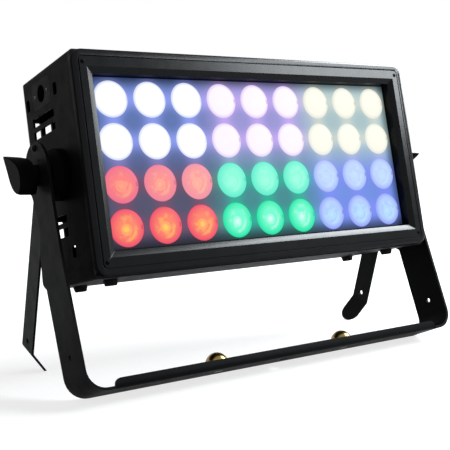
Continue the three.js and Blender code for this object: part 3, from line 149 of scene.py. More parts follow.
class Nodes:
    """A small builder around a node tree."""

    def __init__(self, tree: bpy.types.NodeTree) -> None:
        """Takes the tree that it adds nodes to."""
        self.tree = tree

    def node(self, kind: str, **settings: object) -> bpy.types.Node:
        """Adds a node.

        Args:
            kind: The node's type name.
            **settings: Properties to set on it.

        Returns:
            The new node.
        """
        made = self.tree.nodes.new(kind)
        for key, value in settings.items():
            setattr(made, key, value)
        return made

    def link(self, source: Socket, target: Socket) -> None:
        """Links an output to an input."""
        self.tree.links.new(source, target)

    def feed(self, target: Socket, value: object) -> None:
        """Gives an input a number, a colour or a link.

        Args:
            target: The input.
            value: A number, a colour or an output.
        """
        if isinstance(value, Socket):
            self.link(value, target)
        elif isinstance(value, tuple) and target.type == "RGBA":
            target.default_value = (*value, 1.0)
        else:
            target.default_value = value

    def coordinates(self, output: str = "Object") -> Socket:
        """Adds texture coordinates of the given kind."""
        return self.node("ShaderNodeTexCoord").outputs[output]

    def attribute(self, name: str) -> Socket:
        """Adds a reading of a vertex attribute."""
        return self.node("ShaderNodeAttribute", attribute_name=name).outputs["Fac"]

    def axes(self, vector: Socket) -> tuple[Socket, Socket, Socket]:
        """Splits a vector.

        Args:
            vector: The vector.

        Returns:
            Its x, y and z.
        """
        made = self.node("ShaderNodeSeparateXYZ")
        self.link(vector, made.inputs[0])
        return made.outputs[0], made.outputs[1], made.outputs[2]

    def math(self, operation: str, *values: object) -> Socket:
        """Adds a Math node.

        Args:
            operation: The operation's name.
            *values: Numbers or sockets for its inputs.

        Returns:
            The result.
        """
        made = self.node("ShaderNodeMath", operation=operation)
        for socket, value in zip(made.inputs, values):
            self.feed(socket, value)
        return made.outputs[0]

    def distance(self, value: Socket, place: float) -> Socket:
        """Measures how far a value is from a number."""
        return self.math("ABSOLUTE", self.math("ADD", value, -place))

    def length(self, first: Socket, second: Socket) -> Socket:
        """Measures the length of a flat vector from its two parts."""
        squares = [self.math("POWER", self.math("ABSOLUTE", part), 2.0) for part in (first, second)]
        return self.math("SQRT", self.math("ADD", *squares))

    def noise(self, scale: float, detail: float) -> Socket:
        """Adds noise on object coordinates.

        Args:
            scale: Cells per metre.
            detail: Octaves.

        Returns:
            The noise value.
        """
        made = self.node("ShaderNodeTexNoise")
        made.inputs["Scale"].default_value = scale
        made.inputs["Detail"].default_value = detail
        self.link(self.coordinates(), made.inputs["Vector"])
        return made.outputs[0]

    def ramp(self, value: Socket, *stops: tuple[float, Colour]) -> Socket:
        """Adds a colour ramp.

        Args:
            value: The value that it reads.
            *stops: Places with their colours.

        Returns:
            The colour.
        """
        made = self.node("ShaderNodeValToRGB")
        elements = made.color_ramp.elements
        while len(elements) < len(stops):
            elements.new(0.5)
        for element, (place, colour) in zip(elements, stops):
            element.position = place
            element.color = (*colour, 1.0)
        self.link(value, made.inputs[0])
        return made.outputs[0]

    def mix(self, share: object, first: object, second: object) -> Socket:
        """Mixes two colours.

        Args:
            share: How much of the second colour shows, a number or an output.
            first: The first colour or output.
            second: The second colour or output.

        Returns:
            The mixed colour.
        """
        made = self.node("ShaderNodeMix", data_type="RGBA")
        for socket, value in zip((made.inputs[0], made.inputs[6], made.inputs[7]), (share, first, second)):
            self.feed(socket, value)
        return made.outputs[2]

    def fit(self, value: Socket, start: Span, result: Span, smooth: bool = False) -> Socket:
        """Maps one range to another, clamped.

        Args:
            value: The value.
            start: Its range.
            result: What the ends of the range become.
            smooth: Whether the change eases in and out.

        Returns:
            The mapped value.
        """
        kind = "SMOOTHSTEP" if smooth else "LINEAR"
        made = self.node("ShaderNodeMapRange", interpolation_type=kind)
        for key, number in zip(("From Min", "From Max", "To Min", "To Max"), (*start, *result)):
            made.inputs[key].default_value = number
        self.link(value, made.inputs["Value"])
        return made.outputs[0]

    def backdrop(self, glossy_share: float) -> Socket:
        """Tells the rays that see a bright backdrop from those that only light the scene.

        Args:
            glossy_share: How bright the backdrop is in reflections.

        Returns:
            1 to the camera and through glass, the share in reflections, and 0 to other rays.
        """
        path = self.node("ShaderNodeLightPath")
        glossy = self.math("MULTIPLY", path.outputs["Is Glossy Ray"], glossy_share)
        seen = self.math("MAXIMUM", path.outputs["Is Camera Ray"], glossy)
        return self.math("MAXIMUM", seen, path.outputs["Is Transmission Ray"])


class Shader(Nodes):
    """The node tree of a new material, with its Principled surface."""

    def __init__(self, name: str) -> None:
        """Starts a material.

        Args:
            name: The material's name.
        """
        self.material = bpy.data.materials.new(name)
        self.material.use_nodes = True
        super().__init__(self.material.node_tree)
        self.surface = self.tree.nodes["Principled BSDF"]

    def set(self, **values: object) -> None:
        """Feeds inputs of the surface, named with underscores for spaces."""
        for key, value in values.items():
            self.feed(self.surface.inputs[key.replace("_", " ")], value)

    def bump(self, height: Socket, strength: float, distance: float) -> None:
        """Bumps the surface.

        Args:
            height: The height, 0 to 1.
            strength: The bump's strength.
            distance: The full height in metres.
        """
        made = self.node("ShaderNodeBump")
        made.inputs["Strength"].default_value = strength
        made.inputs["Distance"].default_value = distance
        self.link(height, made.inputs["Height"])
        self.link(made.outputs[0], self.surface.inputs["Normal"])


@dataclass(frozen=True)
class Coated:
    """A satin coat or moulded skin: speckle, soft patches of colour and gloss, and scuffs.

    ``scuff`` is how much the scuffs show, ``grain`` counts speckles per metre, ``depth`` is their height in
    metres, and ``spread`` says how far the gloss strays from ``roughness``.
    """

    name: str
    colour: Colour
    roughness: float
    specular: float
    scuff: float
    grain: float = 1400.0
    depth: float = 0.00005
    spread: float = 1.0

    # Each noise has its cells per metre and its octaves, and each patch stop its place and a colour share.
    PATCH_NOISE = (24.0, 4.0)
    PATCH_STOPS = ((0.3, 0.8), (0.7, 1.2))
    SCUFF_NOISE = (190.0, 6.0)
    SCUFF_SPAN = (0.64, 0.74)
    SCUFF_COLOUR = (0.09, 0.09, 0.095)
    GLOSS_NOISE = (70.0, 3.0)
    GLOSS_SPAN = (0.3, 0.7)
    GLOSS_STRAY = (-0.05, 0.07)
    GRAIN_OCTAVES = 2.0
    GRAIN_STRENGTH = 0.5

    def material(self) -> bpy.types.Material:
        """Builds the coat.

        Returns:
            The material.
        """
        shader = Shader(self.name)
        stops = [(place, scaled(self.colour, share)) for place, share in self.PATCH_STOPS]
        patches = shader.ramp(shader.noise(*self.PATCH_NOISE), *stops)
        scuffs = shader.fit(shader.noise(*self.SCUFF_NOISE), self.SCUFF_SPAN, (0.0, self.scuff), True)
        low, high = (self.roughness + stray * self.spread for stray in self.GLOSS_STRAY)
        shader.set(Base_Color=shader.mix(scuffs, patches, self.SCUFF_COLOUR),
                   Specular_IOR_Level=self.specular,
                   Roughness=shader.fit(shader.noise(*self.GLOSS_NOISE), self.GLOSS_SPAN, (low, high)))
        shader.bump(shader.noise(self.grain, self.GRAIN_OCTAVES), self.GRAIN_STRENGTH, self.depth)
        return shader.material


@dataclass(frozen=True)
class Metal:
    """Bare or plated metal with an uneven tint, fine scratches and dull spots."""

    name: str
    colour: Colour
    tint: Colour
    roughness: float

    # Each noise has its cells per metre and its octaves.
    TINT_NOISE = (140.0, 4.0)
    TINT_SPAN = (0.35, 0.65)
    SPOT_NOISE = (300.0, 4.0)
    SPOT_SPAN = (0.3, 0.7)
    SPOT_SHARES = (0.7, 1.4)
    SCRATCH_NOISE = (700.0, 3.0)
    SCRATCH_STRENGTH = 0.25
    SCRATCH_DEPTH = 0.00003

    def material(self) -> bpy.types.Material:
        """Builds the metal.

        Returns:
            The material.
        """
        shader = Shader(self.name)
        shade = shader.ramp(shader.noise(*self.TINT_NOISE), *zip(self.TINT_SPAN, (self.colour, self.tint)))
        low, high = (self.roughness * share for share in self.SPOT_SHARES)
        shader.set(Base_Color=shade, Metallic=1.0,
                   Roughness=shader.fit(shader.noise(*self.SPOT_NOISE), self.SPOT_SPAN, (low, high)))
        shader.bump(shader.noise(*self.SCRATCH_NOISE), self.SCRATCH_STRENGTH, self.SCRATCH_DEPTH)
        return shader.material


@dataclass(frozen=True)
class Lit:
    """The lit colours of one row of a zone's lenses: middle of the face, rim and the lamp seen inside."""

    face: Colour
    rim: Colour
    lamp: Colour
    lamp_share: float


@dataclass(frozen=True)
class Glow:
    """The lit look of one lens zone: its upper and lower row, and the glow that it throws on the panel, which the
    panel's material paints.

    ``sparkle`` is how much the lamp's reflections show, ``veil`` how much the upper row pales towards the
    right, and ``rim_start`` the share of the radius where the rim's colour begins. Lengths in the constants
    are shares of a lens's radius.
    """

    word: str
    upper: Lit
    lower: Lit
    haze: Colour
    far_haze: Colour
    sparkle: float = 0.4
    veil: float = 0.0
    rim_start: float = 0.7

    RIM_PLACE = 0.93
    EDGE_SHARE = 0.86
    # The lamp inside, with an uneven outline, and a thin ring round it.
    LAMP_PLACE = (-0.07, -0.1)
    LAMP_RADIUS = 0.17
    LAMP_FADE_SHARES = (0.45, 1.7)
    WOBBLE_NOISE = (300.0, 3.0)
    WOBBLE = 0.24
    RING_RADIUS = 0.27
    RING_SPAN = (0.02, 0.07)
    RING_SHARE = 0.8
    # A curved reflection towards the lower right.
    BOW_RADIUS = 0.52
    BOW_SPAN = (0.03, 0.13)
    BOW_HEADING = (0.75, -0.66)
    BOW_ARC = (0.22, 0.48)
    # Soft spots all over the middle.
    SPOT_NOISE = (150.0, 3.0)
    SPOT_SPAN = (0.5, 0.62)
    SPOT_SHARE = 0.7
    SPOT_REACH = (0.45, 0.85)
    # The small moulded tab at the right of each lens.
    TAB_PLACE = 0.89
    TAB_WIDTH = (0.05, 0.09)
    TAB_HEIGHT = (0.1, 0.14)
    TAB_SHARE = 0.6
    # The unlit lens and its round ribs, with their depth in metres.
    DARK_COLOUR = (0.008, 0.008, 0.01)
    ROUGHNESS = 0.35
    SPECULAR = 0.02
    RIB_RATE = 44.0
    RIB_STRENGTH = 0.2
    RIB_DEPTH = 0.0001

    def lamp(self, shader: Shader, from_lamp: Socket) -> tuple[Socket, Socket]:
        """Draws the lamp inside.

        Args:
            shader: The material's builder.
            from_lamp: The distance from the lamp's middle.

        Returns:
            The distance with its uneven outline, and how much of the lamp shows.
        """
        noise = shader.noise(*self.WOBBLE_NOISE)
        wobble = shader.math("MULTIPLY_ADD", noise, self.WOBBLE, -self.WOBBLE / 2.0)
        uneven = shader.math("ADD", from_lamp, wobble)
        low, high = (self.LAMP_RADIUS * share for share in self.LAMP_FADE_SHARES)
        return uneven, shader.fit(uneven, (low, high), (1.0, 0.0), True)

    def marks(self, shader: Shader, axes: tuple[Socket, Socket], radius: Socket, from_lamp: Socket,
              uneven: Socket) -> Socket:
        """Draws the ring, the curved reflection and the soft spots.

        Args:
            shader: The material's builder.
            axes: The lens's map, across and up.
            radius: The share of the lens's radius.
            from_lamp: The distance from the lamp's middle.
            uneven: The same distance with an uneven outline.

        Returns:
            How much of the marks shows.
        """
        from_ring = shader.distance(from_lamp, self.RING_RADIUS)
        ring = shader.fit(from_ring, self.RING_SPAN, (self.RING_SHARE, 0.0), True)
        circle = shader.fit(shader.distance(uneven, self.BOW_RADIUS), self.BOW_SPAN, (1.0, 0.0), True)
        parts = [shader.math("MULTIPLY", axis, share) for axis, share in zip(axes, self.BOW_HEADING)]
        arc = shader.fit(shader.math("ADD", *parts), self.BOW_ARC, (0.0, 1.0), True)
        blots = shader.fit(shader.noise(*self.SPOT_NOISE), self.SPOT_SPAN, (0.0, self.SPOT_SHARE), True)
        inner = shader.fit(radius, self.SPOT_REACH, (1.0, 0.0), True)
        ring_or_bow = shader.math("MAXIMUM", ring, shader.math("MULTIPLY", circle, arc))
        return shader.math("MAXIMUM", ring_or_bow, shader.math("MULTIPLY", blots, inner))

    def tab(self, shader: Shader, axes: tuple[Socket, Socket]) -> Socket:
        """Draws the moulded tab.

        Args:
            shader: The material's builder.
            axes: The lens's map, across and up.

        Returns:
            How much of the tab shows.
        """
        width = shader.fit(shader.distance(axes[0], self.TAB_PLACE), self.TAB_WIDTH, (1.0, 0.0))
        height = shader.fit(shader.distance(axes[1], 0.0), self.TAB_HEIGHT, (1.0, 0.0))
        return shader.math("MULTIPLY", shader.math("MULTIPLY", width, height), self.sparkle * self.TAB_SHARE)

    def row_colour(self, shader: Shader, lit: Lit, radius: Socket, lamp: Socket, marks: Socket) -> Socket:
        """Builds the colour of one row.

        Args:
            shader: The material's builder.
            lit: The row's colours.
            radius: The share of the lens's radius.
            lamp: How much of the lamp inside shows.
            marks: How much of the reflections shows.

        Returns:
            The colour.
        """
        face = shader.ramp(radius, (0.0, lit.face), (self.rim_start, lit.face), (self.RIM_PLACE, lit.rim),
                           (1.0, scaled(lit.rim, self.EDGE_SHARE)))
        marked = shader.mix(shader.math("MULTIPLY", marks, self.sparkle), face, lit.lamp)
        return shader.mix(shader.math("MULTIPLY", lamp, lit.lamp_share), marked, lit.lamp)

    def material(self) -> bpy.types.Material:
        """Builds the lens material.

        The lens's own map runs from -1 to 1 across each lens, and two attributes tell the rows and the
        columns apart.

        Returns:
            The material.
        """
        shader = Shader(f"lens_glow_{self.word}")
        across, up, _ = shader.axes(shader.coordinates("UV"))
        radius = shader.length(across, up)
        offsets = [shader.math("ADD", axis, -place) for axis, place in zip((across, up), self.LAMP_PLACE)]
        from_lamp = shader.length(*offsets)
        uneven, lamp = self.lamp(shader, from_lamp)
        marks = self.marks(shader, (across, up), radius, from_lamp, uneven)
        upper, lower = (self.row_colour(shader, lit, radius, lamp, marks) for lit in (self.upper, self.lower))
        veil = shader.math("MULTIPLY", shader.attribute("column_share"), self.veil)
        rows = shader.mix(shader.attribute("row_depth"), shader.mix(veil, upper, WHITE), lower)
        shown = shader.mix(self.tab(shader, (across, up)), rows, BLACK)
        shader.set(Base_Color=self.DARK_COLOUR, Roughness=self.ROUGHNESS, Specular_IOR_Level=self.SPECULAR,
                   Emission_Color=shown, Emission_Strength=1.0)
        ribs = shader.math("SINE", shader.math("MULTIPLY", radius, self.RIB_RATE))
        shader.bump(ribs, self.RIB_STRENGTH, self.RIB_DEPTH)
        return shader.material


@dataclass(frozen=True)
class Fade:
    """Painted shade: how the panel's painted glow darkens towards a border of the lens panel.

    It shows in full ``full`` lens pitches inside the border, and at ``share`` only ``low`` pitches inside.
    """

    border: Border
    low: float
    full: float
    share: float
    smooth: bool = True

    def level(self, shader: Shader, axes: tuple[Socket, Socket], halves: Span) -> Socket:
        """Draws the painted shade.

        Args:
            shader: The material's builder.
            axes: The panel's map, across and up.
            halves: Half the panel's lens pitches, across and up.

        Returns:
            How much of the haze shows.
        """
        axis, sign = self.border.value
        value, half = axes[axis], halves[axis]
        if sign > 0:
            return shader.fit(value, (half - self.full, half - self.low), (1.0, self.share), self.smooth)
        return shader.fit(value, (self.low - half, self.full - half), (self.share, 1.0), self.smooth)


@dataclass(frozen=True)
class PanelHaze:
    """The dark lens panel, with the light of the zones around each point painted on it as a glow, and painted
    shade along its borders.

    The panel's own map counts lens pitches from the panel's centre.
    """

    glows: Sequence[Glow]
    columns: int
    rows: int
    zones_across: int

    HALO_SPAN = (0.04, 0.56)
    HALO_POWER = 1.7
    ZONE_BLEND = 0.6
    ROW_BLEND = 0.55
    # Painted shade along the panel's borders: soft falls first, then narrow dark margins.
    FADES = (
        Fade(Border.TOP, low=-0.02, full=0.28, share=0.3),
        Fade(Border.BOTTOM, low=0.02, full=0.42, share=0.2),
        Fade(Border.RIGHT, low=0.0, full=0.32, share=0.35),
        Fade(Border.LEFT, low=0.0, full=0.2, share=0.4),
        Fade(Border.TOP, low=-0.015, full=0.005, share=0.0, smooth=False),
        Fade(Border.BOTTOM, low=0.02, full=0.04, share=0.0, smooth=False),
        Fade(Border.RIGHT, low=0.01, full=0.03, share=0.0, smooth=False),
    )
    # Each noise has its cells per metre and its octaves, and the grain's depth is in metres.
    # The cloud noise makes the painted glow uneven.
    CLOUD_NOISE = (22.0, 2.0)
    CLOUD_SPAN = (0.3, 0.7)
    CLOUD_SHARES = (0.92, 1.0)
    DARK_COLOUR = (0.006, 0.006, 0.008)
    ROUGHNESS = 0.4
    SPECULAR = 0.03
    GRAIN_NOISE = (900.0, 2.0)
    GRAIN_STRENGTH = 0.3
    GRAIN_DEPTH = 0.00003

    def halo(self, shader: Shader, axes: tuple[Socket, Socket]) -> Socket:
        """Draws how near a point is to a lens, which picks the painted glow's colour beside a lens or between
        lenses.

        Args:
            shader: The material's builder.
            axes: The panel's map, across and up.

        Returns:
            0 between four lenses, and 1 beside a lens.
        """
        waves = []
        for axis, count in zip(axes, (self.columns, self.rows)):
            from_first = shader.math("ADD", axis, (count - 1) / 2.0)
            waves.append(shader.math("COSINE", shader.math("MULTIPLY", from_first, math.tau)))
        # The sum of the waves runs from -2 to 2, and this one from 0 to 1.
        near = shader.math("MULTIPLY_ADD", shader.math("ADD", *waves), 0.25, 0.5)
        return shader.math("POWER", shader.fit(near, self.HALO_SPAN, (0.0, 1.0)), self.HALO_POWER)

    def zones(self, shader: Shader, colours: Sequence[Colour], axes: tuple[Socket, Socket]) -> Socket:
        """Blends the six zones' painted glow.

        Args:
            shader: The material's builder.
            colours: The zones' colours, the upper ones first.
            axes: The panel's map, across and up.

        Returns:
            The colour.
        """
        across, up = axes
        border, blend = self.columns / self.zones_across / 2.0, self.ZONE_BLEND
        to_middle, to_right = (shader.fit(across, (place - blend, place + blend), (0.0, 1.0), True)
                               for place in (-border, border))
        upper, lower = (shader.mix(to_right, shader.mix(to_middle, left, middle), right)
                        for left, middle, right in (colours[:self.zones_across], colours[self.zones_across:]))
        return shader.mix(shader.fit(up, (-self.ROW_BLEND, self.ROW_BLEND), (0.0, 1.0), True), lower, upper)

    def light(self, shader: Shader, axes: tuple[Socket, Socket]) -> Socket:
        """Draws how much of the painted glow shows at a point of the panel: unevenly, and with painted shade
        towards the borders.

        Args:
            shader: The material's builder.
            axes: The panel's map, across and up.

        Returns:
            The share of the painted glow that shows.
        """
        halves = (self.columns / 2.0, self.rows / 2.0)
        lit = shader.fit(shader.noise(*self.CLOUD_NOISE), self.CLOUD_SPAN, self.CLOUD_SHARES)
        for border_shade in self.FADES:
            lit = shader.math("MULTIPLY", lit, border_shade.level(shader, axes, halves))
        return lit

    def material(self) -> bpy.types.Material:
        """Builds the panel's material.

        Returns:
            The material.
        """
        shader = Shader("panel_haze")
        axes = shader.axes(shader.coordinates("UV"))[:2]
        # Painted glow: the zones' light thrown on the panel, in its near colour beside each lens.
        haze = shader.mix(self.halo(shader, axes),
                          self.zones(shader, [glow.far_haze for glow in self.glows], axes),
                          self.zones(shader, [glow.haze for glow in self.glows], axes))
        shader.set(Base_Color=self.DARK_COLOUR, Roughness=self.ROUGHNESS, Specular_IOR_Level=self.SPECULAR,
                   Emission_Color=shader.mix(self.light(shader, axes), BLACK, haze), Emission_Strength=1.0)
        shader.bump(shader.noise(*self.GRAIN_NOISE), self.GRAIN_STRENGTH, self.GRAIN_DEPTH)
        return shader.material


# Mesh helpers.


@dataclass(frozen=True)
class Rounding:
    """How a piece's edges are rounded: the width in millimetres, and the faces across it."""

    width: float
    segments: int = 2

    def soften(self, piece: Piece) -> None:
        """Rounds a piece's sharp edges.

        Args:
            piece: The piece.
        """
        bevel = piece.modifiers.new("rounded_edges", "BEVEL")
        bevel.width = self.width * MM
        bevel.segments = self.segments
        bevel.limit_method = "ANGLE"
        bevel.angle_limit = math.radians(SHARP_ANGLE)
        bevel.harden_normals = True


def finish_mesh(name: str, bm: bmesh.types.BMesh, place: Matrix, material: bpy.types.Material,
                body: str, sharp: float = SHARP_ANGLE) -> Piece:
    """Turns a mesh in local lengths into an object that rides on a body.

    Args:
        name: The object's name.
        bm: The mesh, freed here.
        place: The map to the shared frame.
        material: The surface.
        body: The body that it rides on.
        sharp: Edges above this angle in degrees are shaded sharp.

    Returns:
        The object.
    """
    bmesh.ops.transform(bm, matrix=place, verts=bm.verts)
    bmesh.ops.recalc_face_normals(bm, faces=bm.faces)
    mesh = bpy.data.meshes.new(name)
    bm.to_mesh(mesh)
    bm.free()
    mesh.shade_smooth()
    mesh.set_sharp_from_angle(angle=math.radians(sharp))
    mesh.materials.append(material)
    made = bpy.data.objects.new(name, mesh)
    bpy.context.scene.collection.objects.link(made)
    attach(made, body)
    return made


def body_of(node: str) -> str:
    """Finds the body that carries a node."""
    bodies = frame["record"]["behaviour"]["bodies"]
    return next(body for body, nodes in bodies.items() if node in nodes)


def dressed(node: str, material: bpy.types.Material, rounding: Rounding) -> Piece:
    """Dresses a merged copy of a CAD node, with its edges rounded, in the node's place.

    Args:
        node: The node's name.
        material: The surface.
        rounding: How its edges are rounded.

    Returns:
        The copy.
    """
    bm = bmesh.new()
    bm.from_mesh(frame["nodes"][node].data)
    bmesh.ops.remove_doubles(bm, verts=bm.verts, dist=NODE_WELD)
    bmesh.ops.dissolve_limit(bm, angle_limit=math.radians(FLAT_ANGLE), verts=bm.verts, edges=bm.edges)
    copy = finish_mesh(f"{node}_skin", bm, Matrix.Identity(4), material, body_of(node))
    rounding.soften(copy)
    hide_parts(node)
    return copy


def recoat(piece: Piece, material: bpy.types.Material, place: Matrix,
           wanted: Callable[[Vector, Vector], bool]) -> None:
    """Gives some of a piece's faces their own coat.

    Args:
        piece: The piece.
        material: The coat.
        place: The map from local millimetres to the shared frame.
        wanted: Tells from a face's local centre and normal whether it is coated.
    """
    piece.data.materials.append(material)
    local = place.inverted()
    turn = local.to_3x3().normalized()
    for face in piece.data.polygons:
        if wanted(local @ face.center, turn @ face.normal):
            face.material_index = 1


def spun(bm: bmesh.types.BMesh, profile: Sequence[Span], steps: int) -> list[bmesh.types.BMVert]:
    """Spins a profile about the local y axis.

    Args:
        bm: The mesh that it is added to.
        profile: Radius and y of each point.
        steps: Faces around.

    Returns:
        The new vertices.
    """
    before = set(bm.verts)
    points = [bm.verts.new((radius, y, 0.0)) for radius, y in profile]
    edges = [bm.edges.new(pair) for pair in zip(points, points[1:])]
    bmesh.ops.spin(bm, geom=points + edges, cent=(0.0, 0.0, 0.0), axis=(0.0, 1.0, 0.0), dvec=(0.0, 0.0, 0.0),
                   angle=math.tau, steps=steps, use_merge=True, use_normal_flip=False, use_duplicate=False)
    fresh = [vert for vert in bm.verts if vert not in before]
    bmesh.ops.remove_doubles(bm, verts=fresh, dist=MESH_WELD)
    return [vert for vert in bm.verts if vert not in before]


def grown(bm: bmesh.types.BMesh, loop: list[bmesh.types.BMVert],
          edges: list[bmesh.types.BMEdge]) -> tuple[list[bmesh.types.BMVert], list[bmesh.types.BMEdge]]:
    """Extrudes a closed loop of edges.

    Args:
        bm: The mesh.
        loop: The loop's vertices in order.
        edges: The loop's edges.

    Returns:
        The new loop's vertices in the same order, and its edges.
    """
    new = bmesh.ops.extrude_edge_only(bm, edges=edges)["geom"]
    fresh = {item for item in new if isinstance(item, bmesh.types.BMVert)}
    rim = [item for item in new if isinstance(item, bmesh.types.BMEdge) and fresh.issuperset(item.verts)]
    return [next(end for end in (edge.other_vert(vert) for edge in vert.link_edges) if end in fresh)
            for vert in loop], rim


# Sub-assemblies.


class Finishes:
    """The surfaces shared by the sub-assemblies, each made once."""

    def __init__(self) -> None:
        """Makes the materials."""
        self.bezel = Coated("bezel_coat", srgb(6, 7, 9), roughness=0.22, specular=0.105, scuff=0.012,
                            grain=1300.0, depth=0.000015, spread=0.3).material()
        self.housing = Coated("housing_coat", srgb(9, 10, 11), roughness=0.5, specular=0.025,
                              scuff=0.015).material()
        self.rear = Coated("rear_coat", srgb(17, 18, 19), roughness=0.45, specular=0.16,
                           scuff=0.02).material()
        self.yoke = Coated("yoke_coat", srgb(7, 8, 9), roughness=0.4, specular=0.03, scuff=0.015,
                           grain=1500.0, depth=0.00004).material()
        self.leg = Coated("leg_coat", srgb(11, 12, 12), roughness=0.4, specular=0.055, scuff=0.02,
                          grain=1500.0, depth=0.00004).material()
        self.boss = Coated("boss_coat", srgb(6, 6, 7), roughness=0.5, specular=0.015, scuff=0.01).material()
        self.knob = Coated("knob_skin", srgb(8, 8, 9), roughness=0.34, specular=0.12, scuff=0.02,
                           grain=900.0, depth=0.00002).material()
        self.socket = Coated("socket_skin", srgb(8, 8, 9), roughness=0.42, specular=0.025, scuff=0.015,
                             grain=900.0, depth=0.00002).material()
        self.button = Coated("button_skin", srgb(16, 16, 17), roughness=0.35, specular=0.2, scuff=0.05,
                             grain=900.0, depth=0.00002).material()
        self.rubber = Coated("rubber_skin", srgb(14, 14, 14), roughness=0.7, specular=0.1, scuff=0.05,
                             grain=1100.0).material()
        self.black_steel = Coated("black_steel_look", srgb(7, 8, 9), roughness=0.3, specular=0.05, scuff=0.02,
                                  grain=700.0, depth=0.00001).material()
        self.board = Coated("board_mask", srgb(225, 228, 230), roughness=0.4, specular=0.5, scuff=0.05,
                            grain=900.0, depth=0.00002).material()
        self.circuit = Coated("circuit_mask", srgb(18, 70, 40), roughness=0.3, specular=0.5, scuff=0.05,
                              grain=900.0, depth=0.00002).material()
        self.display = Coated("display_glass", srgb(8, 9, 11), roughness=0.1, specular=0.5, scuff=0.03,
                              grain=400.0, depth=0.000005).material()
        self.steel = Metal("plated_steel_look", srgb(170, 172, 176), srgb(120, 122, 126), 0.3).material()
        self.dark_steel = Metal("blackened_steel_look", srgb(92, 94, 98), srgb(66, 68, 72), 0.32).material()
        self.zinc = Metal("yellow_zinc_look", srgb(150, 118, 84), srgb(124, 112, 56), 0.22).material()
        self.aluminium = Metal("aluminium_look", srgb(190, 192, 196), srgb(160, 162, 166), 0.35).material()


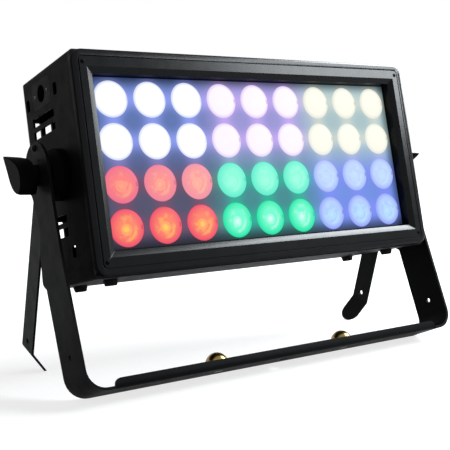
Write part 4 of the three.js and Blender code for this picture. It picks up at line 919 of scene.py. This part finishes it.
@dataclass(frozen=True)
class LensField:
    """The lit lens field: six zones of domed lenses in a panel with a hole for each.

    Lengths are in millimetres, with y pointing back from the panel's face.
    """

    columns: int = 9
    rows: int = 4
    zone_columns: int = 3
    zone_rows: int = 2
    pitch_x: float = 45.0
    pitch_z: float = 44.0
    radius: float = 19.2
    crown: float = 1.8
    shoulder: float = 0.8
    skirt: float = 1.6
    panel_half_x: float = 219.5
    panel_half_z: float = 108.5
    panel_depth: float = 2.4
    gap: float = 0.15
    steps: int = 64
    dome_steps: int = 10

    GLOWS = (
        Glow("top_left",
             upper=Lit(srgb(254, 255, 255), srgb(226, 232, 254), srgb(255, 255, 255), 1.0),
             lower=Lit(srgb(254, 255, 255), srgb(228, 234, 255), srgb(255, 255, 255), 1.0),
             haze=srgb(146, 162, 250), far_haze=srgb(92, 116, 178), sparkle=0.15, rim_start=0.86),
        Glow("top_middle",
             upper=Lit(srgb(252, 246, 253), srgb(238, 217, 254), srgb(254, 250, 255), 0.8),
             lower=Lit(srgb(252, 245, 253), srgb(238, 220, 254), srgb(254, 249, 255), 0.8),
             haze=srgb(196, 168, 244), far_haze=srgb(150, 146, 210), rim_start=0.8),
        Glow("top_right",
             upper=Lit(srgb(252, 250, 235), srgb(234, 237, 225), srgb(253, 252, 238), 0.6),
             lower=Lit(srgb(252, 250, 236), srgb(234, 239, 228), srgb(253, 253, 240), 0.6),
             haze=srgb(206, 216, 208), far_haze=srgb(166, 194, 198), rim_start=0.76),
        Glow("bottom_left",
             upper=Lit(srgb(252, 132, 128), srgb(242, 117, 142), srgb(255, 196, 140), 0.4),
             lower=Lit(srgb(253, 136, 106), srgb(244, 88, 108), srgb(255, 214, 96), 0.8),
             haze=srgb(122, 76, 106), far_haze=srgb(82, 80, 108), sparkle=0.42, veil=0.15, rim_start=0.42),
        Glow("bottom_middle",
             upper=Lit(srgb(138, 252, 217), srgb(104, 240, 208), srgb(184, 255, 238), 0.45),
             lower=Lit(srgb(112, 252, 206), srgb(40, 234, 172), srgb(226, 255, 253), 0.8),
             haze=srgb(28, 182, 152), far_haze=srgb(60, 140, 144), sparkle=0.36, rim_start=0.5),
        Glow("bottom_right",
             upper=Lit(srgb(188, 212, 252), srgb(172, 188, 252), srgb(204, 230, 255), 0.5),
             lower=Lit(srgb(176, 205, 252), srgb(156, 171, 252), srgb(190, 236, 255), 0.7),
             haze=srgb(124, 142, 250), far_haze=srgb(112, 142, 228), sparkle=0.6),
    )

    def place(self, column: int, row: int) -> Span:
        """Finds the x and z of a lens's centre, from its column and row, counted from the top left."""
        return ((column - (self.columns - 1) / 2) * self.pitch_x, ((self.rows - 1) / 2 - row) * self.pitch_z)

    def build_zone(self, glow: Glow, zone_column: int, zone_row: int) -> Piece:
        """Builds one zone of lenses.

        Args:
            glow: Its lit look.
            zone_column: The zone's column, from the left.
            zone_row: The zone's row, from the top.

        Returns:
            The zone.
        """
        bm = bmesh.new()
        uv = bm.loops.layers.uv.new("lens_map")
        row_depth = bm.verts.layers.float.new("row_depth")
        column_share = bm.verts.layers.float.new("column_share")
        profile = []
        for step in range(self.dome_steps + 1):
            turn = step * math.pi / 2 / self.dome_steps
            profile.append((self.radius * math.sin(turn), self.shoulder - self.crown * math.cos(turn)))
        profile.append((self.radius, self.shoulder + self.skirt))
        for row in range(self.zone_rows):
            for column in range(self.zone_columns):
                x, z = self.place(zone_column * self.zone_columns + column, zone_row * self.zone_rows + row)
                fresh = spun(bm, profile, self.steps)
                for vert in fresh:
                    vert[row_depth] = row / (self.zone_rows - 1)
                    vert[column_share] = column / (self.zone_columns - 1)
                for loop in {loop for vert in fresh for loop in vert.link_loops}:
                    loop[uv].uv = (loop.vert.co.x / self.radius, loop.vert.co.z / self.radius)
                bmesh.ops.translate(bm, vec=(x, 0.0, z), verts=fresh)
        node = f"lens_zone_{glow.word}"
        made = finish_mesh(f"{node}_lenses", bm, HEAD_PLACE.matrix(), glow.material(), "head")
        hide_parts(node)
        return made

    def build_panel(self) -> Piece:
        """Builds the panel that the lenses look through.

        Returns:
            The panel.
        """
        bm = bmesh.new()
        upright = Matrix.Rotation(math.radians(90.0), 4, "X")
        halves = Matrix.Diagonal((self.panel_half_x, self.panel_half_z, 1.0, 1.0))
        bmesh.ops.create_grid(bm, x_segments=1, y_segments=1, size=1.0, matrix=upright @ halves)
        bmesh.ops.delete(bm, geom=list(bm.faces), context="FACES_ONLY")
        hole = self.radius + self.gap
        for row in range(self.rows):
            for column in range(self.columns):
                x, z = self.place(column, row)
                bmesh.ops.create_circle(bm, cap_ends=False, segments=self.steps, radius=hole,
                                        matrix=Matrix.Translation((x, 0.0, z)) @ upright)
        bmesh.ops.triangle_fill(bm, use_beauty=True, use_dissolve=False, edges=list(bm.edges))
        back = bmesh.ops.extrude_face_region(bm, geom=list(bm.faces))["geom"]
        moved = [item for item in back if isinstance(item, bmesh.types.BMVert)]
        bmesh.ops.translate(bm, vec=(0.0, self.panel_depth, 0.0), verts=moved)
        uv = bm.loops.layers.uv.new("panel_map")
        for face in bm.faces:
            for loop in face.loops:
                loop[uv].uv = (loop.vert.co.x / self.pitch_x, loop.vert.co.z / self.pitch_z)
        # The panel's material paints the zones' glow on it, and shade along its borders.
        haze = PanelHaze(self.GLOWS, self.columns, self.rows, self.columns // self.zone_columns).material()
        made = finish_mesh("lens_panel", bm, HEAD_PLACE.matrix(), haze, "head")
        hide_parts("lens_mask")
        return made

    def build(self) -> list[Piece]:
        """Builds the panel and the six zones.

        Returns:
            The pieces.
        """
        pieces = [self.build_panel()]
        for index, glow in enumerate(self.GLOWS):
            zone_row, zone_column = divmod(index, self.columns // self.zone_columns)
            pieces.append(self.build_zone(glow, zone_column, zone_row))
        return pieces


@dataclass(frozen=True)
class SocketFlange:
    """One socket: its plate with contact pins, and two small pan-head screws on the plate.

    Lengths are in millimetres. ``heading`` turns the plate's outward +y direction about z, and
    ``screw_offset`` is where one screw sits across and up; the other is opposite.
    """

    node: str
    heading: float
    screw_offset: Span
    bore: float = 9.3
    pins: int = 3
    first_pin: float = 90.0
    pin_share: float = 0.5
    pin_reach: float = 1.35
    plate_depth: float = 2.0
    steps: int = 24
    rounding: Rounding = Rounding(0.3)

    # Radius and height of each point of a screw's head.
    SCREW_PROFILE = ((0.0, 0.25), (0.7, 0.25), (0.8, 0.7), (1.2, 0.6), (1.55, 0.35), (1.7, -0.3))

    def place(self) -> Matrix:
        """The map from the flange's own millimetres, with the plate's face at y 0, to the shared frame.

        Returns:
            The matrix.
        """
        head = HEAD_PLACE.matrix()
        points = [head.inverted() @ vert.co for vert in frame["nodes"][self.node].data.vertices]
        middle = Vector([(min(values) + max(values)) / 2.0 for values in zip(*points)])
        turn = Matrix.Rotation(math.radians(self.heading), 4, "Z")
        outward = turn @ Vector((0.0, 1.0, 0.0))
        reach = max((point - middle).dot(outward) for point in points)
        return head @ Matrix.Translation(middle + outward * reach) @ turn

    def is_pin(self, centre: Vector, _normal: Vector) -> bool:
        """Tells whether a face belongs to a contact pin.

        Args:
            centre: The face's centre in the flange's own frame.
            _normal: Its normal, which doesn't matter here.

        Returns:
            Whether it is on a pin.
        """
        ring = self.bore * self.pin_share
        gaps = []
        for pin in range(self.pins):
            turn = math.radians(self.first_pin + 360.0 * pin / self.pins)
            gaps.append(math.hypot(centre.x - ring * math.cos(turn), centre.z - ring * math.sin(turn)))
        return centre.y < -self.plate_depth and min(gaps) < self.pin_reach

    def build(self, looks: Finishes) -> list[Piece]:
        """Builds and dresses the socket.

        Args:
            looks: The shared finishes.

        Returns:
            The pieces.
        """
        place = self.place()
        socket = dressed(self.node, looks.socket, self.rounding)
        recoat(socket, looks.steel, place, self.is_pin)
        pieces = [socket]
        across, up = self.screw_offset
        for number, sign in enumerate((1.0, -1.0), 1):
            bm = bmesh.new()
            spun(bm, self.SCREW_PROFILE, self.steps)
            bmesh.ops.translate(bm, vec=(sign * across, 0.0, sign * up), verts=bm.verts)
            pieces.append(finish_mesh(f"{self.node}_screw_{number}", bm, place, looks.dark_steel, "head"))
        return pieces


@dataclass
class Head:
    """The lamp head: bezel, lens field, housing, rear cover and what they carry."""

    finishes: Finishes
    lens_field: LensField = field(default_factory=LensField)
    menu_buttons: int = 4
    bezel_rounding: Rounding = Rounding(0.5, 3)
    bezel_screw_rounding: Rounding = Rounding(0.15)
    cover_screw_rounding: Rounding = Rounding(0.2)
    board_rounding: Rounding = Rounding(0.1)
    heat_sink_rounding: Rounding = Rounding(0.3)
    supply_rounding: Rounding = Rounding(0.6)
    sheet_rounding: Rounding = Rounding(0.4)
    panel_part_rounding: Rounding = Rounding(0.4)
    boss_rounding: Rounding = Rounding(0.6, 3)
    foot_rounding: Rounding = Rounding(0.8, 3)

    FLANGES = (
        SocketFlange("power_in_socket", 90.0, (15.8, 0.0)),
        SocketFlange("power_out_socket", -90.0, (15.8, 0.0)),
        SocketFlange("data_out_socket", 0.0, (12.0, 12.0), bore=11.0),
        SocketFlange("data_in_socket", 0.0, (12.0, 12.0), bore=11.0),
    )
    SIDE_SLOPE = 0.5

    def is_outer_side(self, centre: Vector, normal: Vector) -> bool:
        """Tells whether a face of the bezel is on one of its four outer sides.

        Args:
            centre: The face's centre in the head's frame.
            normal: Its normal.

        Returns:
            Whether it looks sideways and away from the opening.
        """
        return abs(normal.y) < self.SIDE_SLOPE and normal.x * centre.x + normal.z * centre.z > 0.0

    def build_front(self) -> list[Piece]:
        """Builds the bezel with its screws, the lens field and the LED board.

        Returns:
            The pieces.
        """
        looks = self.finishes
        bezel = dressed("front_bezel", looks.bezel, self.bezel_rounding)
        recoat(bezel, looks.housing, HEAD_PLACE.matrix(), self.is_outer_side)
        screws = [dressed(f"bezel_screw_{corner.value}", looks.boss, self.bezel_screw_rounding)
                  for corner in Corner]
        board = dressed("led_board", looks.board, self.board_rounding)
        return [bezel, *screws, *self.lens_field.build(), board]

    def build_box(self) -> list[Piece]:
        """Builds the housing and the rear cover, with what they hold inside and on the back.

        Returns:
            The pieces.
        """
        looks = self.finishes
        pieces = [
            dressed("heat_sink", looks.aluminium, self.heat_sink_rounding),
            dressed("housing", looks.housing, self.sheet_rounding),
            dressed("rear_cover", looks.rear, self.sheet_rounding),
            dressed("display_window", looks.display, self.panel_part_rounding),
            dressed("control_board", looks.circuit, self.board_rounding),
            dressed("power_supply", looks.aluminium, self.supply_rounding),
        ]
        pieces += [dressed(f"cover_screw_{corner.value}", looks.black_steel, self.cover_screw_rounding)
                   for corner in Corner]
        pieces += [dressed(f"menu_button_{number}", looks.button, self.panel_part_rounding)
                   for number in range(1, self.menu_buttons + 1)]
        return pieces

    def build_sides(self) -> list[Piece]:
        """Builds the sockets, the pivot bosses and the rubber feet.

        Returns:
            The pieces.
        """
        looks = self.finishes
        pieces = [piece for flange in self.FLANGES for piece in flange.build(looks)]
        for side in Side:
            pieces.append(dressed(f"{side.word}_boss", looks.boss, self.boss_rounding))
            pieces += [dressed(f"rubber_foot_{side.word}_{end}", looks.rubber, self.foot_rounding)
                       for end in ("front", "rear")]
        return pieces

    def build(self) -> list[Piece]:
        """Builds and dresses the whole head."""
        return [*self.build_front(), *self.build_box(), *self.build_sides()]


@dataclass
class Yoke:
    """The folded front yoke with its bar bolts, arm screws and washers."""

    finishes: Finishes
    strip_rounding: Rounding = Rounding(0.45)
    bolt_rounding: Rounding = Rounding(0.3)
    arm_screw_rounding: Rounding = Rounding(0.3, 3)
    washer_rounding: Rounding = Rounding(0.15)

    def build(self) -> list[Piece]:
        """Builds and dresses the yoke.

        Returns:
            The pieces.
        """
        looks = self.finishes
        pieces = [dressed("front_yoke", looks.yoke, self.strip_rounding)]
        for side in Side:
            pieces.append(dressed(f"bar_bolt_{side.word}", looks.zinc, self.bolt_rounding))
            pieces.append(dressed(f"arm_screw_{side.word}", looks.black_steel, self.arm_screw_rounding))
            pieces.append(dressed(f"pivot_washer_{side.word}", looks.steel, self.washer_rounding))
        return pieces


@dataclass(frozen=True)
class KnobRing:
    """One section of a wing knob: how far out it is, its reach up and down, its half thickness and middle.

    Lengths are in millimetres. ``point`` sharpens its upper end, ``bend`` moves both ends back or forward,
    and ``lean`` is how much nearer each millimetre towards the front is.
    """

    out: float
    up: float
    down: float
    half_thick: float
    middle: float = 0.0
    point: float = 0.0
    bend: Span = (0.0, 0.0)
    lean: float = 0.0


@dataclass(frozen=True)
class WingKnob:
    """A moulded wing knob: a round neck that swells into a leaf-shaped wing with a leaning end face.

    Lengths are in millimetres. ``seat`` is where the neck starts, and ``gloss_from`` how far from there the
    end begins.
    """

    side: Side
    seat: float = 249.3
    gloss_from: float = 15.0
    steps: int = 56
    sharp_angle: float = 20.0
    rounding: Rounding = Rounding(0.5, 3)

    RINGS = (
        KnobRing(0.0, 10.8, 10.8, 10.8),
        KnobRing(3.0, 10.8, 10.8, 10.8),
        KnobRing(4.0, 17.0, 18.0, 9.6, 0.0, 0.2),
        KnobRing(5.2, 20.2, 20.8, 8.8, -0.3, 0.4, (0.6, -0.3)),
        KnobRing(11.0, 22.3, 21.7, 8.0, -1.0, 0.6, (1.8, -1.2), 0.1),
        KnobRing(18.0, 24.2, 21.8, 7.4, -1.9, 0.7, (3.6, -1.6), 0.35),
        KnobRing(24.0, 25.2, 21.7, 7.0, -2.4, 0.7, (4.4, -1.8), 0.5),
        KnobRing(26.8, 25.4, 20.8, 6.6, -2.5, 0.65, (4.6, -1.8), 0.55),
        KnobRing(27.55, 24.6, 19.8, 5.9, -2.4, 0.65, (4.6, -1.8), 0.55),
    )
    END_SLOPE = 0.6

    def place_on(self, ring: KnobRing, turn: float) -> Vector:
        """Finds a point of a section.

        Args:
            ring: The section.
            turn: The angle from the wing's back edge towards its upper end.

        Returns:
            The point in the knob's frame.
        """
        high = math.sin(turn)
        upper_bend, lower_bend = ring.bend
        reach, bend, point = (ring.up, upper_bend, ring.point) if high > 0.0 else (ring.down, lower_bend, 0.0)
        back = ring.middle + ring.half_thick * math.cos(turn) * abs(math.cos(turn)) ** point
        back += (bend - ring.middle) * high * high
        lean = ring.lean * max(0.0, ring.middle + ring.half_thick - back)
        sign = self.side.value
        return Vector((sign * (self.seat + ring.out - lean), -sign * back, reach * high))

    def is_end(self, centre: Vector, normal: Vector) -> bool:
        """Tells whether a face is on the knob's end, which hands rub.

        Args:
            centre: The face's centre, in metres.
            normal: Its normal.

        Returns:
            Whether it looks outwards, near the end.
        """
        return abs(normal.x) > self.END_SLOPE and abs(centre.x) > (self.seat + self.gloss_from) * MM

    def build(self, matt: bpy.types.Material, gloss: bpy.types.Material, angle: float) -> Piece:
        """Builds the knob.

        Args:
            matt: The surface of its neck and sides.
            gloss: The surface of its end.
            angle: The knob's turn about the tilt axis in degrees.

        Returns:
            The knob.
        """
        bm = bmesh.new()
        loop = list(bmesh.ops.create_circle(bm, cap_ends=False, segments=self.steps, radius=1.0)["verts"])
        turns = [math.atan2(vert.co.y, vert.co.x) for vert in loop]
        edges = list(bm.edges)
        for number, ring in enumerate(self.RINGS):
            if number:
                loop, edges = grown(bm, loop, edges)
            for vert, turn in zip(loop, turns):
                vert.co = self.place_on(ring, turn)
        bmesh.ops.holes_fill(bm, edges=list(bm.edges), sides=0)
        word = self.side.word
        knob = finish_mesh(f"{word}_wing_knob", bm, Placement(turn=angle).matrix(), matt, f"{word}_clamp",
                           self.sharp_angle)
        recoat(knob, gloss, Matrix.Identity(4), self.is_end)
        self.rounding.soften(knob)
        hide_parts(f"{word}_knob")
        return knob


@dataclass
class SideSupport:
    """One side's rear leg, clamping knob and stud."""

    side: Side
    finishes: Finishes
    leg_rounding: Rounding = Rounding(0.4)
    stud_rounding: Rounding = Rounding(0.2)

    KNOB_ANGLES = {Side.LEFT: -32.0, Side.RIGHT: 48.0}

    def build(self) -> list[Piece]:
        """Builds and dresses the side's leg and clamp.

        Returns:
            The pieces.
        """
        looks = self.finishes
        word = self.side.word
        return [
            dressed(f"{word}_leg", looks.leg, self.leg_rounding),
            WingKnob(self.side).build(looks.boss, looks.knob, self.KNOB_ANGLES[self.side]),
            dressed(f"{word}_stud", looks.steel, self.stud_rounding),
        ]


# The studio.


@dataclass(frozen=True)
class Lamp:
    """A square area light, slightly cool, that looks at the light's middle. Lengths are in metres."""

    name: str
    place: Point
    size: float
    power: float
    colour: Colour = (0.94, 1.0, 1.04)
    target: Point = (0.0, 0.0, 0.17)

    def build(self) -> None:
        """Adds the lamp."""
        data = bpy.data.lights.new(self.name, "AREA")
        data.shape = "SQUARE"
        data.size = self.size
        data.energy = self.power
        data.color = self.colour
        lamp = bpy.data.objects.new(self.name, data)
        lamp.location = self.place
        lamp.rotation_euler = (Vector(self.target) - Vector(self.place)).to_track_quat("-Z", "Y").to_euler()
        bpy.context.scene.collection.objects.link(lamp)


@dataclass(frozen=True)
class Studio:
    """Camera, pale floor, white surroundings and soft lamps.

    Lengths are in metres, the camera's sensor and focal length in millimetres, and angles in degrees.
    """

    camera_place: Point = (-0.58867, -0.8208, 0.26634)
    camera_pitch: float = 83.522
    camera_heading: float = -34.5416
    focal_length: float = 69.75
    sensor_width: float = 36.0
    near_clip: float = 0.01
    floor_half: float = 12.0
    floor_grey: float = 0.35
    floor_roughness: float = 0.9
    floor_specular: float = 0.05
    floor_fade: Span = (0.45, 1.6)
    floor_lift: Span = (0.76, 1.0)
    floor_glossy_share: float = 0.4
    world_light: float = 0.2
    lamps: tuple[Lamp, ...] = (
        Lamp("key_lamp", (1.2, -1.016, 1.075), 0.62, 41.0),
        Lamp("top_lamp", (2.32, -0.22, 2.25), 1.12, 175.0),
        Lamp("side_lamp", (1.8, 0.04, 0.9), 0.58, 19.0),
    )

    def build_camera(self) -> None:
        """Adds the camera at the photograph's place."""
        data = bpy.data.cameras.new("photo_camera")
        data.lens = self.focal_length
        data.sensor_width = self.sensor_width
        data.clip_start = self.near_clip
        camera = bpy.data.objects.new("photo_camera", data)
        camera.location = self.camera_place
        camera.rotation_euler = (math.radians(self.camera_pitch), 0.0, math.radians(self.camera_heading))
        bpy.context.scene.collection.objects.link(camera)
        bpy.context.scene.camera = camera

    def build_floor(self) -> None:
        """Adds the floor, which is white to the camera and keeps the shadow."""
        bm = bmesh.new()
        bmesh.ops.create_grid(bm, x_segments=1, y_segments=1, size=self.floor_half)
        mesh = bpy.data.meshes.new("floor")
        bm.to_mesh(mesh)
        bm.free()
        shader = Shader("floor_paint")
        across, along, _ = shader.axes(shader.coordinates())
        lift = shader.fit(shader.length(across, along), self.floor_fade, self.floor_lift, True)
        glow = shader.math("MULTIPLY", shader.backdrop(self.floor_glossy_share), lift)
        shader.set(Base_Color=scaled(WHITE, self.floor_grey), Roughness=self.floor_roughness,
                   Specular_IOR_Level=self.floor_specular, Emission_Color=WHITE, Emission_Strength=glow)
        mesh.materials.append(shader.material)
        floor = bpy.data.objects.new("floor", mesh)
        bpy.context.scene.collection.objects.link(floor)

    def build_world(self) -> None:
        """Makes the surroundings white to the camera and in reflections, and a plain soft light elsewhere."""
        world = bpy.data.worlds.new("studio_world")
        world.use_nodes = True
        nodes = Nodes(world.node_tree)
        surface = nodes.tree.nodes["Background"]
        nodes.feed(surface.inputs["Color"], WHITE)
        level = nodes.fit(nodes.backdrop(1.0), (0.0, 1.0), (self.world_light, 1.0))
        nodes.link(level, surface.inputs["Strength"])
        bpy.context.scene.world = world

    def build(self) -> None:
        """Builds the studio."""
        self.build_camera()
        self.build_floor()
        self.build_world()
        for lamp in self.lamps:
            lamp.build()
        bpy.context.scene.view_settings.view_transform = "Standard"


def main() -> None:
    """Builds and dresses the whole light in its studio."""
    logging.basicConfig(level=logging.INFO, format="%(name)s: %(message)s")
    Studio().build()
    finishes = Finishes()
    assemblies = [Head(finishes), Yoke(finishes), *(SideSupport(side, finishes) for side in Side)]
    for assembly in assemblies:
        for piece in assembly.build():
            LOG.info("%s: %s, %d faces", type(assembly).__name__, piece.name, len(piece.data.polygons))


if __name__ == "__main__":
    main()
